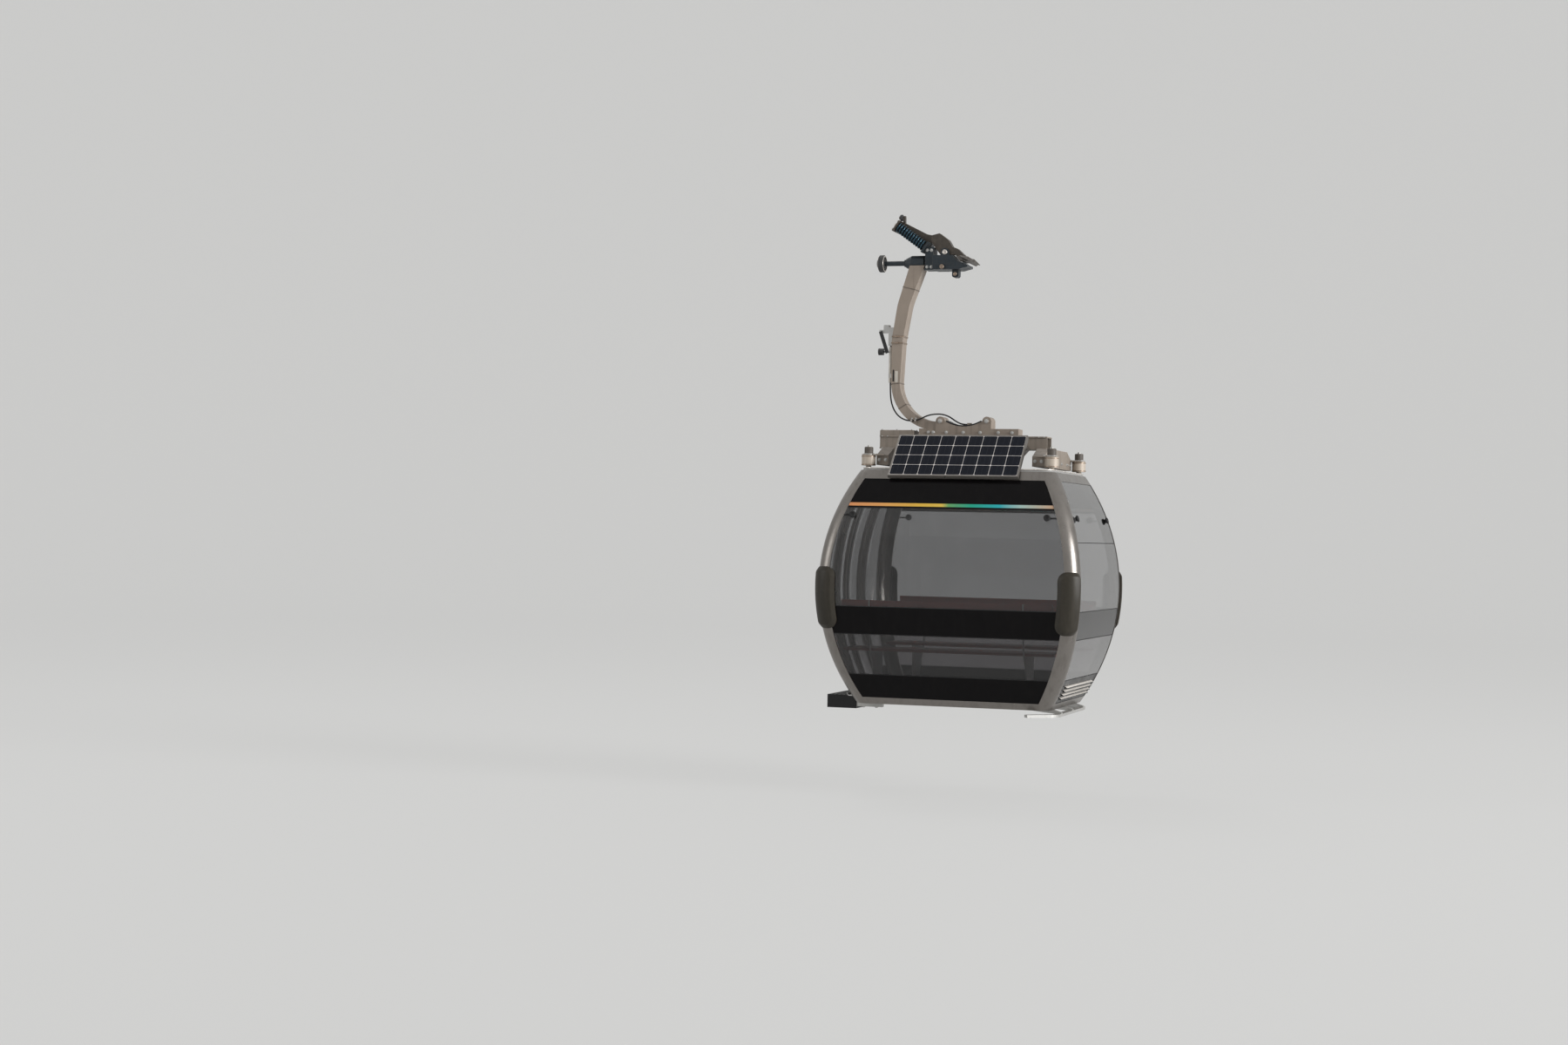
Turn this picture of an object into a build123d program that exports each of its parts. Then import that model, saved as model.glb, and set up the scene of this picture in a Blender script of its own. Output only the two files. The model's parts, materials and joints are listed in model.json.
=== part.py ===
from build123d import *
from math import asin, cos, degrees, radians, sin, sqrt, tan
import os

# Ten-seat cable car cabin with its hanger and its detachable rope grip, in millimetres.
# +Z is up, +Y is the way of travel along the rope, and the doors are on the -X side.
# The origin is the middle of the gripped rope, on its axis. Heights called rise are
# measured from the widest level of the bulging cabin, and depths go inwards from its skin.

os.makedirs("parts", exist_ok=True)

# Rope and grip
rope_radius = 25
jaw_length = 220
jaw_wall = 16
jaw_toe_x = -70
jaw_lip_x = -60
jaw_step_x = -95
jaw_step_z = 26
jaw_deck_x = -130
jaw_deck_z = 70
stop_pin_x = -226
stop_pin_z = -39
stop_pin_radius = 23
stop_pin_reach = 16
latch_x = -117
latch_half_width = 31
latch_half_depth = 42
latch_low_z = -132
latch_pin_z = -101
latch_pin_radius = 20
latch_pin_reach = 14
nose_start_angle = 60
nose_end_angle = 150
tongue_length = 270
tongue_wall = 30
tongue_tip_wall = 6
tongue_gap = 1
pivot_x = -503
pivot_z = 8
shaft_radius = 34
shaft_start_x = -330
shaft_end_x = -612
axle_radius = 23
axle_end_x = -864
axle_washer_radius = 36
axle_washer_thickness = 10
cheek_outer_x = -400
cheek_inner_x = -320
cheek_low_z = -62
cheek_high_z = 150
cheek_half_depth = 75
lever_pin_x = -215
lever_pin_z = 100
lever_pin_radius = 17
lever_pin_gap = 0.1
lever_half_depth = 46
ear_radius = 39
ear_gap = 2
ear_thickness = 24
web_half_depth = 9
web_slot_gap = 3
spring_tilt = 36
spring_foot_x = -402
spring_foot_z = 150
spring_length = 330
spring_radius = 50
spring_bore = 36
spring_y = 62
spring_seat_thickness = 16
spring_seat_half_height = 58
spring_seat_half_width = 115
spring_end_gap = 0.3
roller_radius = 80
roller_width = 56
roller_x = -830
roller_hub_radius = 40
roller_hub_slope = 4
roller_recess = 14
roller_tread_depth = 20
roller_shoulder = 16
roller_flank = 4
roller_edge = 5
roller_bore_gap = 0.1
control_roller_radius = 30
control_roller_width = 26
control_roller_x = -650
control_roller_z = 434
control_roller_chamfer = 3
control_pin_radius = 8
control_pin_start = 20
control_pin_overhang = 10
control_washer_gap = 6
control_washer_rim = 6
control_washer_thickness = 5
control_lug_offset = 28
control_lug_drop = 30
control_lug_height = 90
control_lug_thickness = 22

# Outlines of the moving jaw's parts in the side view, each a list of x, z
nose_outline = [(-56, 12), (-64, 50), (-30, 72), (30, 42)]
arch_outline = [
    (-50, 14), (-86, 36), (-122, 80), (-262, 80), (-345, 190), (-345, 262),
    (-274, 279), (-189, 217), (-150, 152), (-100, 134), (-30, 70),
]
web_low_outline = [(-335, 192), (-470, 186)]
web_high_outline = [(-400, 276), (-335, 262)]

# Where the web meets the springs' end plate, measured from the plate's middle as x, z
web_end_low = (-34, -46)
web_end_high = (36, 50)

# Hanger arm
head_radius = 70
head_length = 184
head_bore_gap = 0.1
head_taper_length = 55
head_taper_radius = 43
head_chamfer = 8
arm_depth = 150
arm_bend_centre_x = -250
arm_bend_centre_z = -1100
arm_bend_outer_radius = 450
arm_bend_inner_radius = 366
arm_blend_radius = 500
arm_shoulder_z = -714
arm_shoulder_outer_x = -704
arm_shoulder_inner_x = -598
arm_neck_z = -384
arm_neck_outer_x = -655
arm_neck_inner_x = -540
arm_top_z = -20
arm_top_outer_x = -545
arm_top_inner_x = -405
control_base_x = -745
control_base_inner_x = -680
control_base_low_z = -760
control_base_high_z = -590
control_base_half_depth = 40
control_box_x = -795
control_pivot_x = -836
control_pivot_high_z = -612
control_box_low_z = -640
control_box_high_z = -567
control_box_half_depth = 34
control_lever_top_x = -822
control_lever_top_z = -628
control_lever_end_x = -752
control_lever_end_z = -830
control_lever_width = 32
control_lever_thickness = 14
control_knob_x = -812
control_knob_z = -818
control_knob_radius = 32
control_knob_width = 46
cable_radius = 7
cable_gland_x = 20
cable_gland_length = 40
cable_clip_z = -1060
cable_clip_height = 40
cable_clip_wall = 14
cable_clip_gap = 0.5

# Foot beam and roof frame
foot_beam_start_x = -420
foot_beam_low_z = -1600
foot_beam_high_z = -1532
foot_beam_half_depth = 85
foot_beam_end_x = 520
lug_x = 220
lug_radius = 42
lug_centre_z = -1462
lug_pin_radius = 22
lug_pin_reach = 12
saddle_low_z = -1512
main_beam_low_z = -1722
main_beam_half_depth = 110
main_beam_half_length = 790
main_beam_flange_reach = 14
main_beam_plate = 12
drive_box_length = 320
drive_box_height = 52
drive_box_half_depth = 100
drive_box_chamfer = 8
side_beam_post_gap = 125
side_beam_width = 110
side_beam_gap = 25
side_beam_end_height = 90
side_beam_end_gap = 15
side_beam_hump_half = 400
post_inset_x = 350
post_inset_y = 435
post_radius = 63
post_foot_radius = 25
post_foot_height = 17
post_neck_radius = 34
post_cap_radius = 40
post_cap_height = 68
post_cap_chamfer = 6
post_arm_gap = 0.5
post_arm_plate = 8
post_arm_lap = 20
post_arm_edge = 50

# Cabin body. The roof stays where the frame needs it, and the widest level follows.
cabin_x = 100
body_width = 2390
body_length = 2100
bulge_radius = 2030
roof_top_z = -1915
roof_rise = 1050
floor_drop = 1060
corner_radius = 122
pillar_depth = 32
panel_depth = 4
panel_thickness = 6
panel_seam = 3
top_rail_height = 79
bottom_rail_height = 60
rail_depth = 32
end_header_drop = 345
waist_high = -178
waist_low = -426
lower_window_sill = 272
roof_plate_thickness = 25
roof_plate_inset = 14
ceiling_thickness = 10
floor_thickness = 55
mat_thickness = 5
mat_inset = 36

# Bumpers
bumper_height = 556
bumper_end_reach = 218
bumper_side_reach = 110
bumper_drop = 106
bumper_thickness = 36
bumper_end_radius = 85
bumper_side_radius = 60
bumper_trim = 12
bumper_rim_slope = 36
bumper_rim_depth = 20
bumper_rim_radius = 22

# Right side. Sills are heights above the body's lower edge.
vent_low = 430
louvre_panel_sill = 272
louvre_high_sill = 210
louvre_low_sill = 75
louvre_count = 4
louvre_thickness = 8
louvre_reach = 20
louvre_slot = 18
louvre_margin = 60

# Doors, on the left side
door_gap = 9
door_thickness = 32
door_leaf_width = 425
door_meeting_gap = 6
door_seal_width = 14
door_head = 164
door_sill = 90
door_rim = 46
door_glass_thickness = 6
opening_half = 390
opening_head = 200
jamb_width = 50
jamb_depth = 40
track_head = 156
track_depth = 20
track_height = 26
track_half_length = 860
track_recess = 52
soffit_thickness = 6
carriage_height = 9
carriage_gap = 6
carriage_width = 90
carriage_places = (67, 237)
carriage_plate = 8
carriage_reach = 46
guide_sill = 57
guide_thickness = 8
guide_lip_height = 26
guide_outer_depth = -46
guide_lip_width = 5
guide_half_length = 850
shoe_sill = 71
shoe_depth = -29
shoe_thickness = 8

# Step, skid and inside
step_reach = 23
step_half_length = 520
step_height = 120
step_sill = 55
step_gap = 12
step_wall = 8
step_arm_y = 480
step_arm_end_x = -600
step_arm_width = 60
step_arm_drop = 46
skid_inset_x = 265
skid_width = 60
skid_thickness = 25
skid_drop = 62
skid_bend_inset_y = 430
skid_end_shift = 230
skid_end_inset_y = 250
skid_bracket_width = 50
skid_bracket_y = 500
skid_bracket_start = 272
skid_bracket_floor = 50
skid_bracket_plate = 12
skid_bend_radius = 120
seat_height = 450
seat_depth = 424
seat_thickness = 26
seat_slats = 4
seat_slat_gap = 14
seat_corner = 12
seat_leg_inset = 40
seat_leg_start = 50
seat_leg_width = 180
seat_leg_bar = 50
seat_side_gap = 235
seat_rear_gap = 136
seat_bracket_thickness = 12
seat_bracket_x = 700
back_low = 130
back_slat_height = 140
back_slat_gap = 20
back_slats = 2
back_trim = 230
back_thickness = 20
wall_clearance = 14

# Solar panel
solar_width = 1195
solar_depth = 541
solar_thickness = 35
solar_tilt = 44.8
solar_overhang = 105
solar_drop = 73
solar_rim = 14
solar_glass_thickness = 5
solar_glass_recess = 1
solar_bracket_edge = 65
solar_bracket_thickness = 10
solar_bracket_start = 170
solar_bracket_end = 520
solar_bracket_bar = 34
solar_foot_start = 12
solar_foot_end = 62
solar_foot_edge = 117.5
solar_foot_width = 40

half_width = body_width / 2
half_length = body_length / 2
roof_z = roof_top_z - roof_plate_thickness
widest_z = roof_z - roof_rise
floor_low_z = widest_z - floor_drop
floor_top_z = floor_low_z + floor_thickness
mat_top_z = floor_top_z + mat_thickness
top_rail_low = roof_rise - top_rail_height
bottom_rail_high = bottom_rail_height - floor_drop
panel_trim = corner_radius + panel_seam
end_header_low = roof_rise - end_header_drop
lower_window_low = lower_window_sill - floor_drop
louvre_panel_high = louvre_panel_sill - floor_drop
louvre_high = louvre_high_sill - floor_drop
louvre_low = louvre_low_sill - floor_drop
door_high = roof_rise - door_head
door_low = door_sill - floor_drop
opening_high = roof_rise - opening_head
track_low = roof_rise - track_head
guide_low = guide_sill - floor_drop
guide_lip_high = guide_low + guide_lip_height
shoe_low = shoe_sill - floor_drop
step_top = step_sill - floor_drop
post_x = half_width - post_inset_x
post_y = half_length - post_inset_y
post_low_z = roof_top_z + post_foot_height
side_beam_x = post_x - side_beam_post_gap
side_beam_half_length = post_y - side_beam_end_gap
side_beam_low_z = roof_top_z + side_beam_gap
side_beam_end_z = side_beam_low_z + side_beam_end_height
post_neck_z = side_beam_end_z - post_arm_plate / 2
post_step_z = side_beam_end_z + post_arm_plate / 2
post_top_z = post_step_z + post_cap_height
skid_x = half_width - skid_inset_x
skid_low_z = floor_low_z - skid_drop
seat_rear = half_length - seat_rear_gap
seat_front = seat_rear - seat_depth
seat_half_width = half_width - seat_side_gap
solar_low_z = roof_top_z - solar_drop
drive_box_start_x = -main_beam_half_length
drive_box_end_x = drive_box_start_x + drive_box_length


def half_span(half, depth, rise):
    """Half width or half length of the bulging body at this rise, this deep in its wall.

    A depth is measured level, so each deeper face is the outer one moved straight in.
    """
    return half - depth - bulge_radius + sqrt(bulge_radius**2 - rise**2)


def bulge_prism(along, depth, low, high):
    """Everything between the two bulging faces of one pair, cut level at low and high.

    along "Y" gives the space between the two side faces, and "X" that between the two ends.
    """
    plane = Plane.XZ if along == "Y" else Plane.YZ
    half = half_width if along == "Y" else half_length
    centre = cabin_x if along == "Y" else 0
    rises = (low, (low + high) / 2, high)
    right = [(centre + half_span(half, depth, rise), widest_z + rise) for rise in rises]
    left = [(centre - half_span(half, depth, rise), widest_z + rise) for rise in rises]
    with BuildPart() as prism:
        with BuildSketch(plane):
            with BuildLine():
                ThreePointArc(*right)
                Line(right[2], left[2])
                ThreePointArc(*left)
                Line(left[0], right[0])
            make_face()
        extrude(amount=body_width, both=True)
    return prism.part


def level_plate(depth, low, high):
    """A thin level slice of the body, this deep in its wall, with rounded corners."""
    with BuildPart() as plate:
        for rise in (low, high):
            with BuildSketch(Plane.XY.offset(widest_z + rise)):
                with Locations((cabin_x, 0)):
                    RectangleRounded(
                        2 * half_span(half_width, depth, rise),
                        2 * half_span(half_length, depth, rise),
                        corner_radius - depth,
                    )
        loft(ruled=True)
    return plate.part


def corner_shell(outer_depth, inner_depth, reach, low, high):
    """A shell round one corner of the body, swept up the body's bulging corner line.

    Its level section is a quarter ring, and stays the same. reach is how far the section
    goes on along both walls from the body's own corner.
    """
    outer_radius = corner_radius - outer_depth
    inner_radius = corner_radius - inner_depth
    straight = corner_radius - reach
    corner_plane = Plane(
        origin=(
            cabin_x + half_width - corner_radius - bulge_radius,
            half_length - corner_radius - bulge_radius,
            widest_z,
        ),
        x_dir=(1, 1, 0),
        z_dir=(1, -1, 0),
    )
    low_turn = degrees(asin(low / bulge_radius))
    high_turn = degrees(asin(high / bulge_radius))
    with BuildPart() as corner:
        with BuildLine(corner_plane) as corner_line:
            EllipticalCenterArc(
                (0, 0),
                sqrt(2) * bulge_radius,
                bulge_radius,
                start_angle=low_turn,
                arc_size=high_turn - low_turn,
            )
        with BuildSketch(Plane(origin=corner_line.line @ 0, x_dir=(1, 0, 0), z_dir=(0, 0, 1))):
            with BuildLine():
                CenterArc((0, 0), outer_radius, 0, 90)
                CenterArc((0, 0), inner_radius, 0, 90)
                if straight < 0:
                    Polyline(
                        (0, outer_radius),
                        (straight, outer_radius),
                        (straight, inner_radius),
                        (0, inner_radius),
                    )
                    Polyline(
                        (outer_radius, 0),
                        (outer_radius, straight),
                        (inner_radius, straight),
                        (inner_radius, 0),
                    )
                else:
                    Line((0, outer_radius), (0, inner_radius))
                    Line((outer_radius, 0), (inner_radius, 0))
            make_face()
        sweep(path=corner_line.line, normal=(0, 0, 1))
    return corner.part


def on_four_corners(solid):
    """The solid of one corner, mirrored to all four."""
    with BuildPart() as four:
        add(solid)
        mirror(about=Plane.XZ)
        mirror(about=Plane.YZ.offset(cabin_x))
    return four.part


def wall_panel(side, depth, thickness, low, high, trim=panel_trim):
    """One curved panel of a face, between the corner pillars.

    side is "end" for the -Y face, "right" for +X and "left" for -X. trim is how far the
    panel's upright edges stay in from the face's own corners.
    """
    along, across = ("X", "Y") if side == "end" else ("Y", "X")
    outer = bulge_prism(along, depth, low, high)
    inner = bulge_prism(along, depth + thickness, low - 1, high + 1)
    between = bulge_prism(across, trim, low, high)
    cut, keep = {
        "end": (Plane.XZ, Keep.TOP),
        "right": (Plane.YZ.offset(cabin_x), Keep.TOP),
        "left": (Plane.YZ.offset(cabin_x), Keep.BOTTOM),
    }[side]
    with BuildPart() as panel:
        add(outer)
        add(inner, mode=Mode.SUBTRACT)
        add(between, mode=Mode.INTERSECT)
        split(bisect_by=cut, keep=keep)
    return panel.part


def slab(low_corner, high_corner):
    """A plain block between two opposite corners, used to cut and trim."""
    size = [high - low for low, high in zip(low_corner, high_corner)]
    middle = [(high + low) / 2 for low, high in zip(low_corner, high_corner)]
    with BuildPart() as block:
        with Locations(tuple(middle)):
            Box(*size)
    return block.part


# Grip body: the shaft for the hanger and the running roller, the cheek, the fixed jaw
fixed_jaw_points = [
    (cheek_inner_x, cheek_low_z),
    (jaw_toe_x, cheek_low_z),
    (rope_radius / 2, -rope_radius - jaw_wall),
    (rope_radius / 2, 0),
    (jaw_lip_x, 0),
    (jaw_step_x, jaw_step_z),
    (jaw_deck_x, jaw_deck_z),
    (cheek_inner_x, jaw_deck_z),
]
ear_outer_y = lever_half_depth + ear_gap + ear_thickness
spring_axis = (-cos(radians(spring_tilt)), 0, sin(radians(spring_tilt)))
spring_foot = Vector(spring_foot_x, 0, spring_foot_z)
spring_plane = Plane(origin=spring_foot, x_dir=(0, 1, 0), z_dir=spring_axis)
spring_end_plane = spring_plane.offset(spring_length)


def tongue_plane(turn):
    """The plane through the rope's axis that is turned this far from +X towards +Z."""
    outwards = Vector(cos(radians(turn)), 0, sin(radians(turn)))
    return Plane(origin=(0, 0, 0), x_dir=outwards, z_dir=outwards.cross(Vector(0, 1, 0)))


with BuildPart() as grip_body:
    with BuildSketch(Plane.XZ):
        with Locations(((cheek_outer_x + cheek_inner_x) / 2, (cheek_low_z + cheek_high_z) / 2)):
            Rectangle(cheek_inner_x - cheek_outer_x, cheek_high_z - cheek_low_z)
    extrude(amount=cheek_half_depth, both=True)
    with BuildSketch(Plane.XZ):
        with BuildLine():
            Polyline(*fixed_jaw_points, close=True)
        make_face()
    extrude(amount=jaw_length / 2, both=True)
    with BuildSketch(Plane.XZ):
        Circle(rope_radius)
    extrude(amount=jaw_length, both=True, mode=Mode.SUBTRACT)
    with BuildSketch(Plane.XZ.offset(lever_half_depth + ear_gap)):
        with Locations((lever_pin_x, lever_pin_z)):
            Circle(ear_radius)
        with Locations((lever_pin_x, (jaw_deck_z + lever_pin_z) / 2)):
            Rectangle(2 * ear_radius, lever_pin_z - jaw_deck_z)
    extrude(amount=ear_thickness)
    mirror(about=Plane.XZ)
    with BuildSketch(Plane.XZ):
        with Locations((lever_pin_x, lever_pin_z)):
            Circle(lever_pin_radius)
    extrude(amount=ear_outer_y, both=True)
    with BuildSketch(Plane.XZ):
        with Locations((stop_pin_x, stop_pin_z)):
            Circle(stop_pin_radius)
    extrude(amount=jaw_length / 2 + stop_pin_reach, both=True)
    with BuildSketch(Plane.XZ):
        with Locations((latch_x, (latch_low_z + cheek_low_z) / 2)):
            Rectangle(2 * latch_half_width, cheek_low_z - latch_low_z)
    extrude(amount=latch_half_depth, both=True)
    fillet(grip_body.edges().filter_by(Axis.Y).group_by(Axis.Z)[0], radius=latch_pin_radius)
    with BuildSketch(Plane.XZ):
        with Locations((latch_x, latch_pin_z)):
            Circle(latch_pin_radius)
    extrude(amount=latch_half_depth + latch_pin_reach, both=True)
    with BuildSketch(spring_plane):
        Rectangle(2 * spring_seat_half_width, 2 * spring_seat_half_height)
        Rectangle(2 * (web_half_depth + web_slot_gap), 2 * spring_seat_half_height, mode=Mode.SUBTRACT)
    extrude(amount=-spring_seat_thickness)
    with BuildSketch(Plane.YZ.offset(shaft_start_x)):
        with Locations((0, pivot_z)):
            Circle(shaft_radius)
    extrude(amount=shaft_end_x - shaft_start_x)
    with BuildSketch(Plane.YZ.offset(shaft_end_x)):
        with Locations((0, pivot_z)):
            Circle(axle_radius)
    extrude(amount=axle_end_x - shaft_end_x)
    with BuildSketch(Plane.YZ.offset(axle_end_x)):
        with Locations((0, pivot_z)):
            Circle(axle_washer_radius)
    extrude(amount=-axle_washer_thickness)
grip_body.part.label = "grip_body"
export_step(grip_body.part, "parts/grip_body.step")

# Moving jaw: the nose on the rope, the arched lever on its pin, the web between the springs
nose_middle_angle = (nose_start_angle + nose_end_angle) / 2
nose_start, nose_middle, nose_end = [
    (rope_radius * cos(radians(angle)), rope_radius * sin(radians(angle)))
    for angle in (nose_start_angle, nose_middle_angle, nose_end_angle)
]
spring_end = spring_end_plane.origin
web_end = [(spring_end.X + x, spring_end.Z + z) for x, z in (web_end_low, web_end_high)]
with BuildPart() as jaw_lever:
    with BuildSketch(Plane.XZ):
        with BuildLine():
            Polyline(nose_end, *nose_outline, nose_start)
            ThreePointArc(nose_start, nose_middle, nose_end)
        make_face()
    extrude(amount=jaw_length / 2, both=True)
    with BuildSketch(Plane.XZ):
        with BuildLine():
            Polyline(*arch_outline, close=True)
        make_face()
        with Locations((lever_pin_x, lever_pin_z)):
            Circle(lever_pin_radius + lever_pin_gap, mode=Mode.SUBTRACT)
    extrude(amount=lever_half_depth, both=True)
    with BuildSketch(Plane.XZ):
        with BuildLine():
            Polyline(*web_low_outline, *web_end, *web_high_outline, close=True)
        make_face()
    extrude(amount=web_half_depth, both=True)
    with BuildSketch(spring_end_plane):
        Rectangle(2 * spring_seat_half_width, 2 * spring_seat_half_height)
    extrude(amount=spring_seat_thickness)
    for end in (-1, 1):
        with BuildSketch(tongue_plane(nose_end_angle)):
            with BuildLine():
                Polyline(
                    (rope_radius, end * jaw_length / 2),
                    (rope_radius + tongue_wall, end * jaw_length / 2),
                    (rope_radius + tongue_gap + tongue_tip_wall, end * (jaw_length / 2 + tongue_length)),
                    (rope_radius + tongue_gap, end * (jaw_length / 2 + tongue_length)),
                    close=True,
                )
            make_face()
        revolve(axis=Axis.Y, revolution_arc=nose_end_angle - nose_start_angle)
    with BuildSketch(Plane.XZ):
        with Locations((control_roller_x + control_lug_offset, control_roller_z - control_lug_drop)):
            Rectangle(control_lug_thickness, control_lug_height)
    extrude(amount=2 * web_half_depth, both=True)
    with BuildSketch(Plane.YZ.offset(control_roller_x + control_pin_start)):
        with Locations((0, control_roller_z)):
            Circle(control_pin_radius)
    extrude(amount=-(control_roller_width + 2 * control_pin_overhang))
    with BuildSketch(Plane.YZ.offset(control_roller_x - control_roller_width / 2 - control_washer_gap)):
        with Locations((0, control_roller_z)):
            Circle(control_pin_radius + control_washer_rim)
    extrude(amount=-control_washer_thickness)
jaw_lever.part.label = "jaw_lever"
export_step(jaw_lever.part, "parts/jaw_lever.step")

# Springs: two coil springs side by side, between the seat on the body and the lever's end
with BuildPart() as springs:
    with BuildSketch(spring_plane.offset(spring_end_gap)):
        with Locations((spring_y, 0), (-spring_y, 0)):
            Circle(spring_radius)
            Circle(spring_bore, mode=Mode.SUBTRACT)
    extrude(amount=spring_length - 2 * spring_end_gap)
springs.part.label = "springs"
export_step(springs.part, "parts/springs.step")

# Rollers. The running roller's half profile is a table of distance from its middle, radius.
roller_profile = [
    (roller_width / 2, axle_radius + roller_bore_gap),
    (roller_width / 2, roller_hub_radius),
    (roller_width / 2 - roller_recess, roller_hub_radius + roller_hub_slope),
    (roller_width / 2 - roller_recess, roller_radius - roller_tread_depth),
    (roller_width / 2 - roller_flank, roller_radius - roller_shoulder),
    (roller_width / 2 - roller_flank, roller_radius - roller_edge),
    (roller_width / 2 - roller_flank - roller_edge, roller_radius),
]
roller_outline = [(roller_x - out, pivot_z + radius) for out, radius in roller_profile]
roller_outline += [(roller_x + out, pivot_z + radius) for out, radius in reversed(roller_profile)]
with BuildPart() as running_roller:
    with BuildSketch(Plane.XZ):
        with BuildLine():
            Polyline(*roller_outline, close=True)
        make_face()
    revolve(axis=Axis((0, 0, pivot_z), (1, 0, 0)))
running_roller.part.label = "running_roller"
export_step(running_roller.part, "parts/running_roller.step")

with BuildPart() as control_roller:
    with BuildSketch(Plane.YZ.offset(control_roller_x - control_roller_width / 2)):
        with Locations((0, control_roller_z)):
            Circle(control_roller_radius)
            Circle(control_pin_radius + roller_bore_gap, mode=Mode.SUBTRACT)
    extrude(amount=control_roller_width)
    rims = control_roller.edges().filter_by(GeomType.CIRCLE).sort_by(SortBy.RADIUS)[-2:]
    chamfer(rims, length=control_roller_chamfer)
control_roller.part.label = "control_roller"
export_step(control_roller.part, "parts/control_roller.step")

# Hanger: the bearing head on the grip's shaft and the bow-shaped arm
head_start_x = pivot_x - head_length / 2
head_end_x = pivot_x + head_length / 2
head_bore = shaft_radius + head_bore_gap
with BuildPart() as hanger_head:
    with BuildSketch(Plane.XZ):
        with BuildLine():
            Polyline(
                (head_start_x, pivot_z + head_bore),
                (head_start_x, pivot_z + head_taper_radius),
                (head_start_x + head_taper_length, pivot_z + head_radius),
                (head_end_x - head_chamfer, pivot_z + head_radius),
                (head_end_x, pivot_z + head_radius - head_chamfer),
                (head_end_x, pivot_z + head_bore),
                close=True,
            )
        make_face()
    revolve(axis=Axis((0, 0, pivot_z), (1, 0, 0)))
hanger_head.part.label = "hanger_head"
export_step(hanger_head.part, "parts/hanger_head.step")

arm_outer_x = arm_bend_centre_x - arm_bend_outer_radius
arm_inner_x = arm_bend_centre_x - arm_bend_inner_radius
arm_end_x = -lug_x - lug_radius
bend_centre = (arm_bend_centre_x, arm_bend_centre_z)
with BuildPart() as hanger_arm:
    with BuildSketch(Plane.XZ) as arm_outline:
        with BuildLine():
            Polyline(
                (arm_inner_x, arm_bend_centre_z),
                (arm_shoulder_inner_x, arm_shoulder_z),
                (arm_neck_inner_x, arm_neck_z),
                (arm_top_inner_x, arm_top_z),
                (arm_top_outer_x, arm_top_z),
                (arm_neck_outer_x, arm_neck_z),
                (arm_shoulder_outer_x, arm_shoulder_z),
                (arm_outer_x, arm_bend_centre_z),
            )
            CenterArc(bend_centre, arm_bend_outer_radius, 180, 90)
            Line(
                (arm_bend_centre_x, arm_bend_centre_z - arm_bend_outer_radius),
                (arm_bend_centre_x, arm_bend_centre_z - arm_bend_inner_radius),
            )
            CenterArc(bend_centre, arm_bend_inner_radius, 180, 90)
        make_face()
        bends = arm_outline.vertices().filter_by_position(Axis.Y, arm_shoulder_z - 1, arm_neck_z + 1)
        fillet(bends, radius=arm_blend_radius)
    extrude(amount=arm_depth / 2, both=True)
    with BuildSketch(Plane.YZ):
        with Locations((0, pivot_z)):
            Circle(head_radius)
    extrude(amount=arm_bend_centre_x - body_width, mode=Mode.SUBTRACT)
    split(bisect_by=Plane.YZ.offset(arm_end_x), keep=Keep.BOTTOM)
hanger_arm.part.label = "hanger_arm"
export_step(hanger_arm.part, "parts/hanger_arm.step")

# Door control on the arm's outer edge, and the cable from it to the roof
with BuildPart() as door_control:
    with BuildSketch(Plane.XZ):
        with Locations(
            (
                (control_base_x + control_base_inner_x) / 2,
                (control_base_low_z + control_base_high_z) / 2,
            )
        ):
            Rectangle(control_base_inner_x - control_base_x, control_base_high_z - control_base_low_z)
    extrude(amount=control_base_half_depth, both=True)
    add(hanger_arm.part, mode=Mode.SUBTRACT)
    with BuildSketch(Plane.XZ):
        with Locations(
            ((control_box_x + control_base_x) / 2, (control_box_low_z + control_box_high_z) / 2)
        ):
            Rectangle(control_base_x - control_box_x, control_box_high_z - control_box_low_z)
        with Locations(
            ((control_pivot_x + control_box_x) / 2, (control_box_low_z + control_pivot_high_z) / 2)
        ):
            Rectangle(control_box_x - control_pivot_x, control_pivot_high_z - control_box_low_z)
    extrude(amount=control_box_half_depth, both=True)
    with BuildSketch(Plane.XZ.offset(control_box_half_depth)):
        with BuildLine():
            Line(
                (control_lever_top_x, control_lever_top_z),
                (control_lever_end_x, control_lever_end_z),
            )
        trace(line_width=control_lever_width)
    extrude(amount=control_lever_thickness)
    knob_plane = Plane.YZ.offset(control_knob_x - control_knob_width / 2)
    knob_centre = (-control_box_half_depth - control_lever_thickness / 2, control_knob_z)
    with BuildSketch(knob_plane):
        with Locations(knob_centre):
            Circle(control_knob_radius)
    extrude(amount=control_knob_width)
    with BuildSketch(knob_plane):
        with Locations(knob_centre):
            Circle(control_lever_thickness / 2)
    extrude(amount=control_lever_end_x - control_knob_x + control_knob_width / 2)
door_control.part.label = "door_control"
export_step(door_control.part, "parts/door_control.step")

cable_route = [
    (-726, -20, control_base_low_z),
    (-726, -20, -1150),
    (-706, -32, -1310),
    (-640, -60, -1412),
    (-545, -97, -1462),
    (-440, -97, -1462),
    (-350, -88, -1415),
    (-290, -60, -1398),
    (-215, -30, -1396),
    (-150, -10, -1418),
    (-90, -5, -1462),
    (-30, -5, -1490),
    (cable_gland_x, -5, -1490),
]


def route_radii(route):
    """The radius of the arc at each inner point: as large as the shorter run beside it allows."""
    points = [Vector(*point) for point in route]
    radii = []
    for before, here, after in zip(points, points[1:], points[2:]):
        turn = (here - before).get_angle(after - here)
        shorter = min((here - before).length, (after - here).length)
        radii.append(0.45 * shorter / tan(radians(turn / 2)))
    return radii


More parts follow.
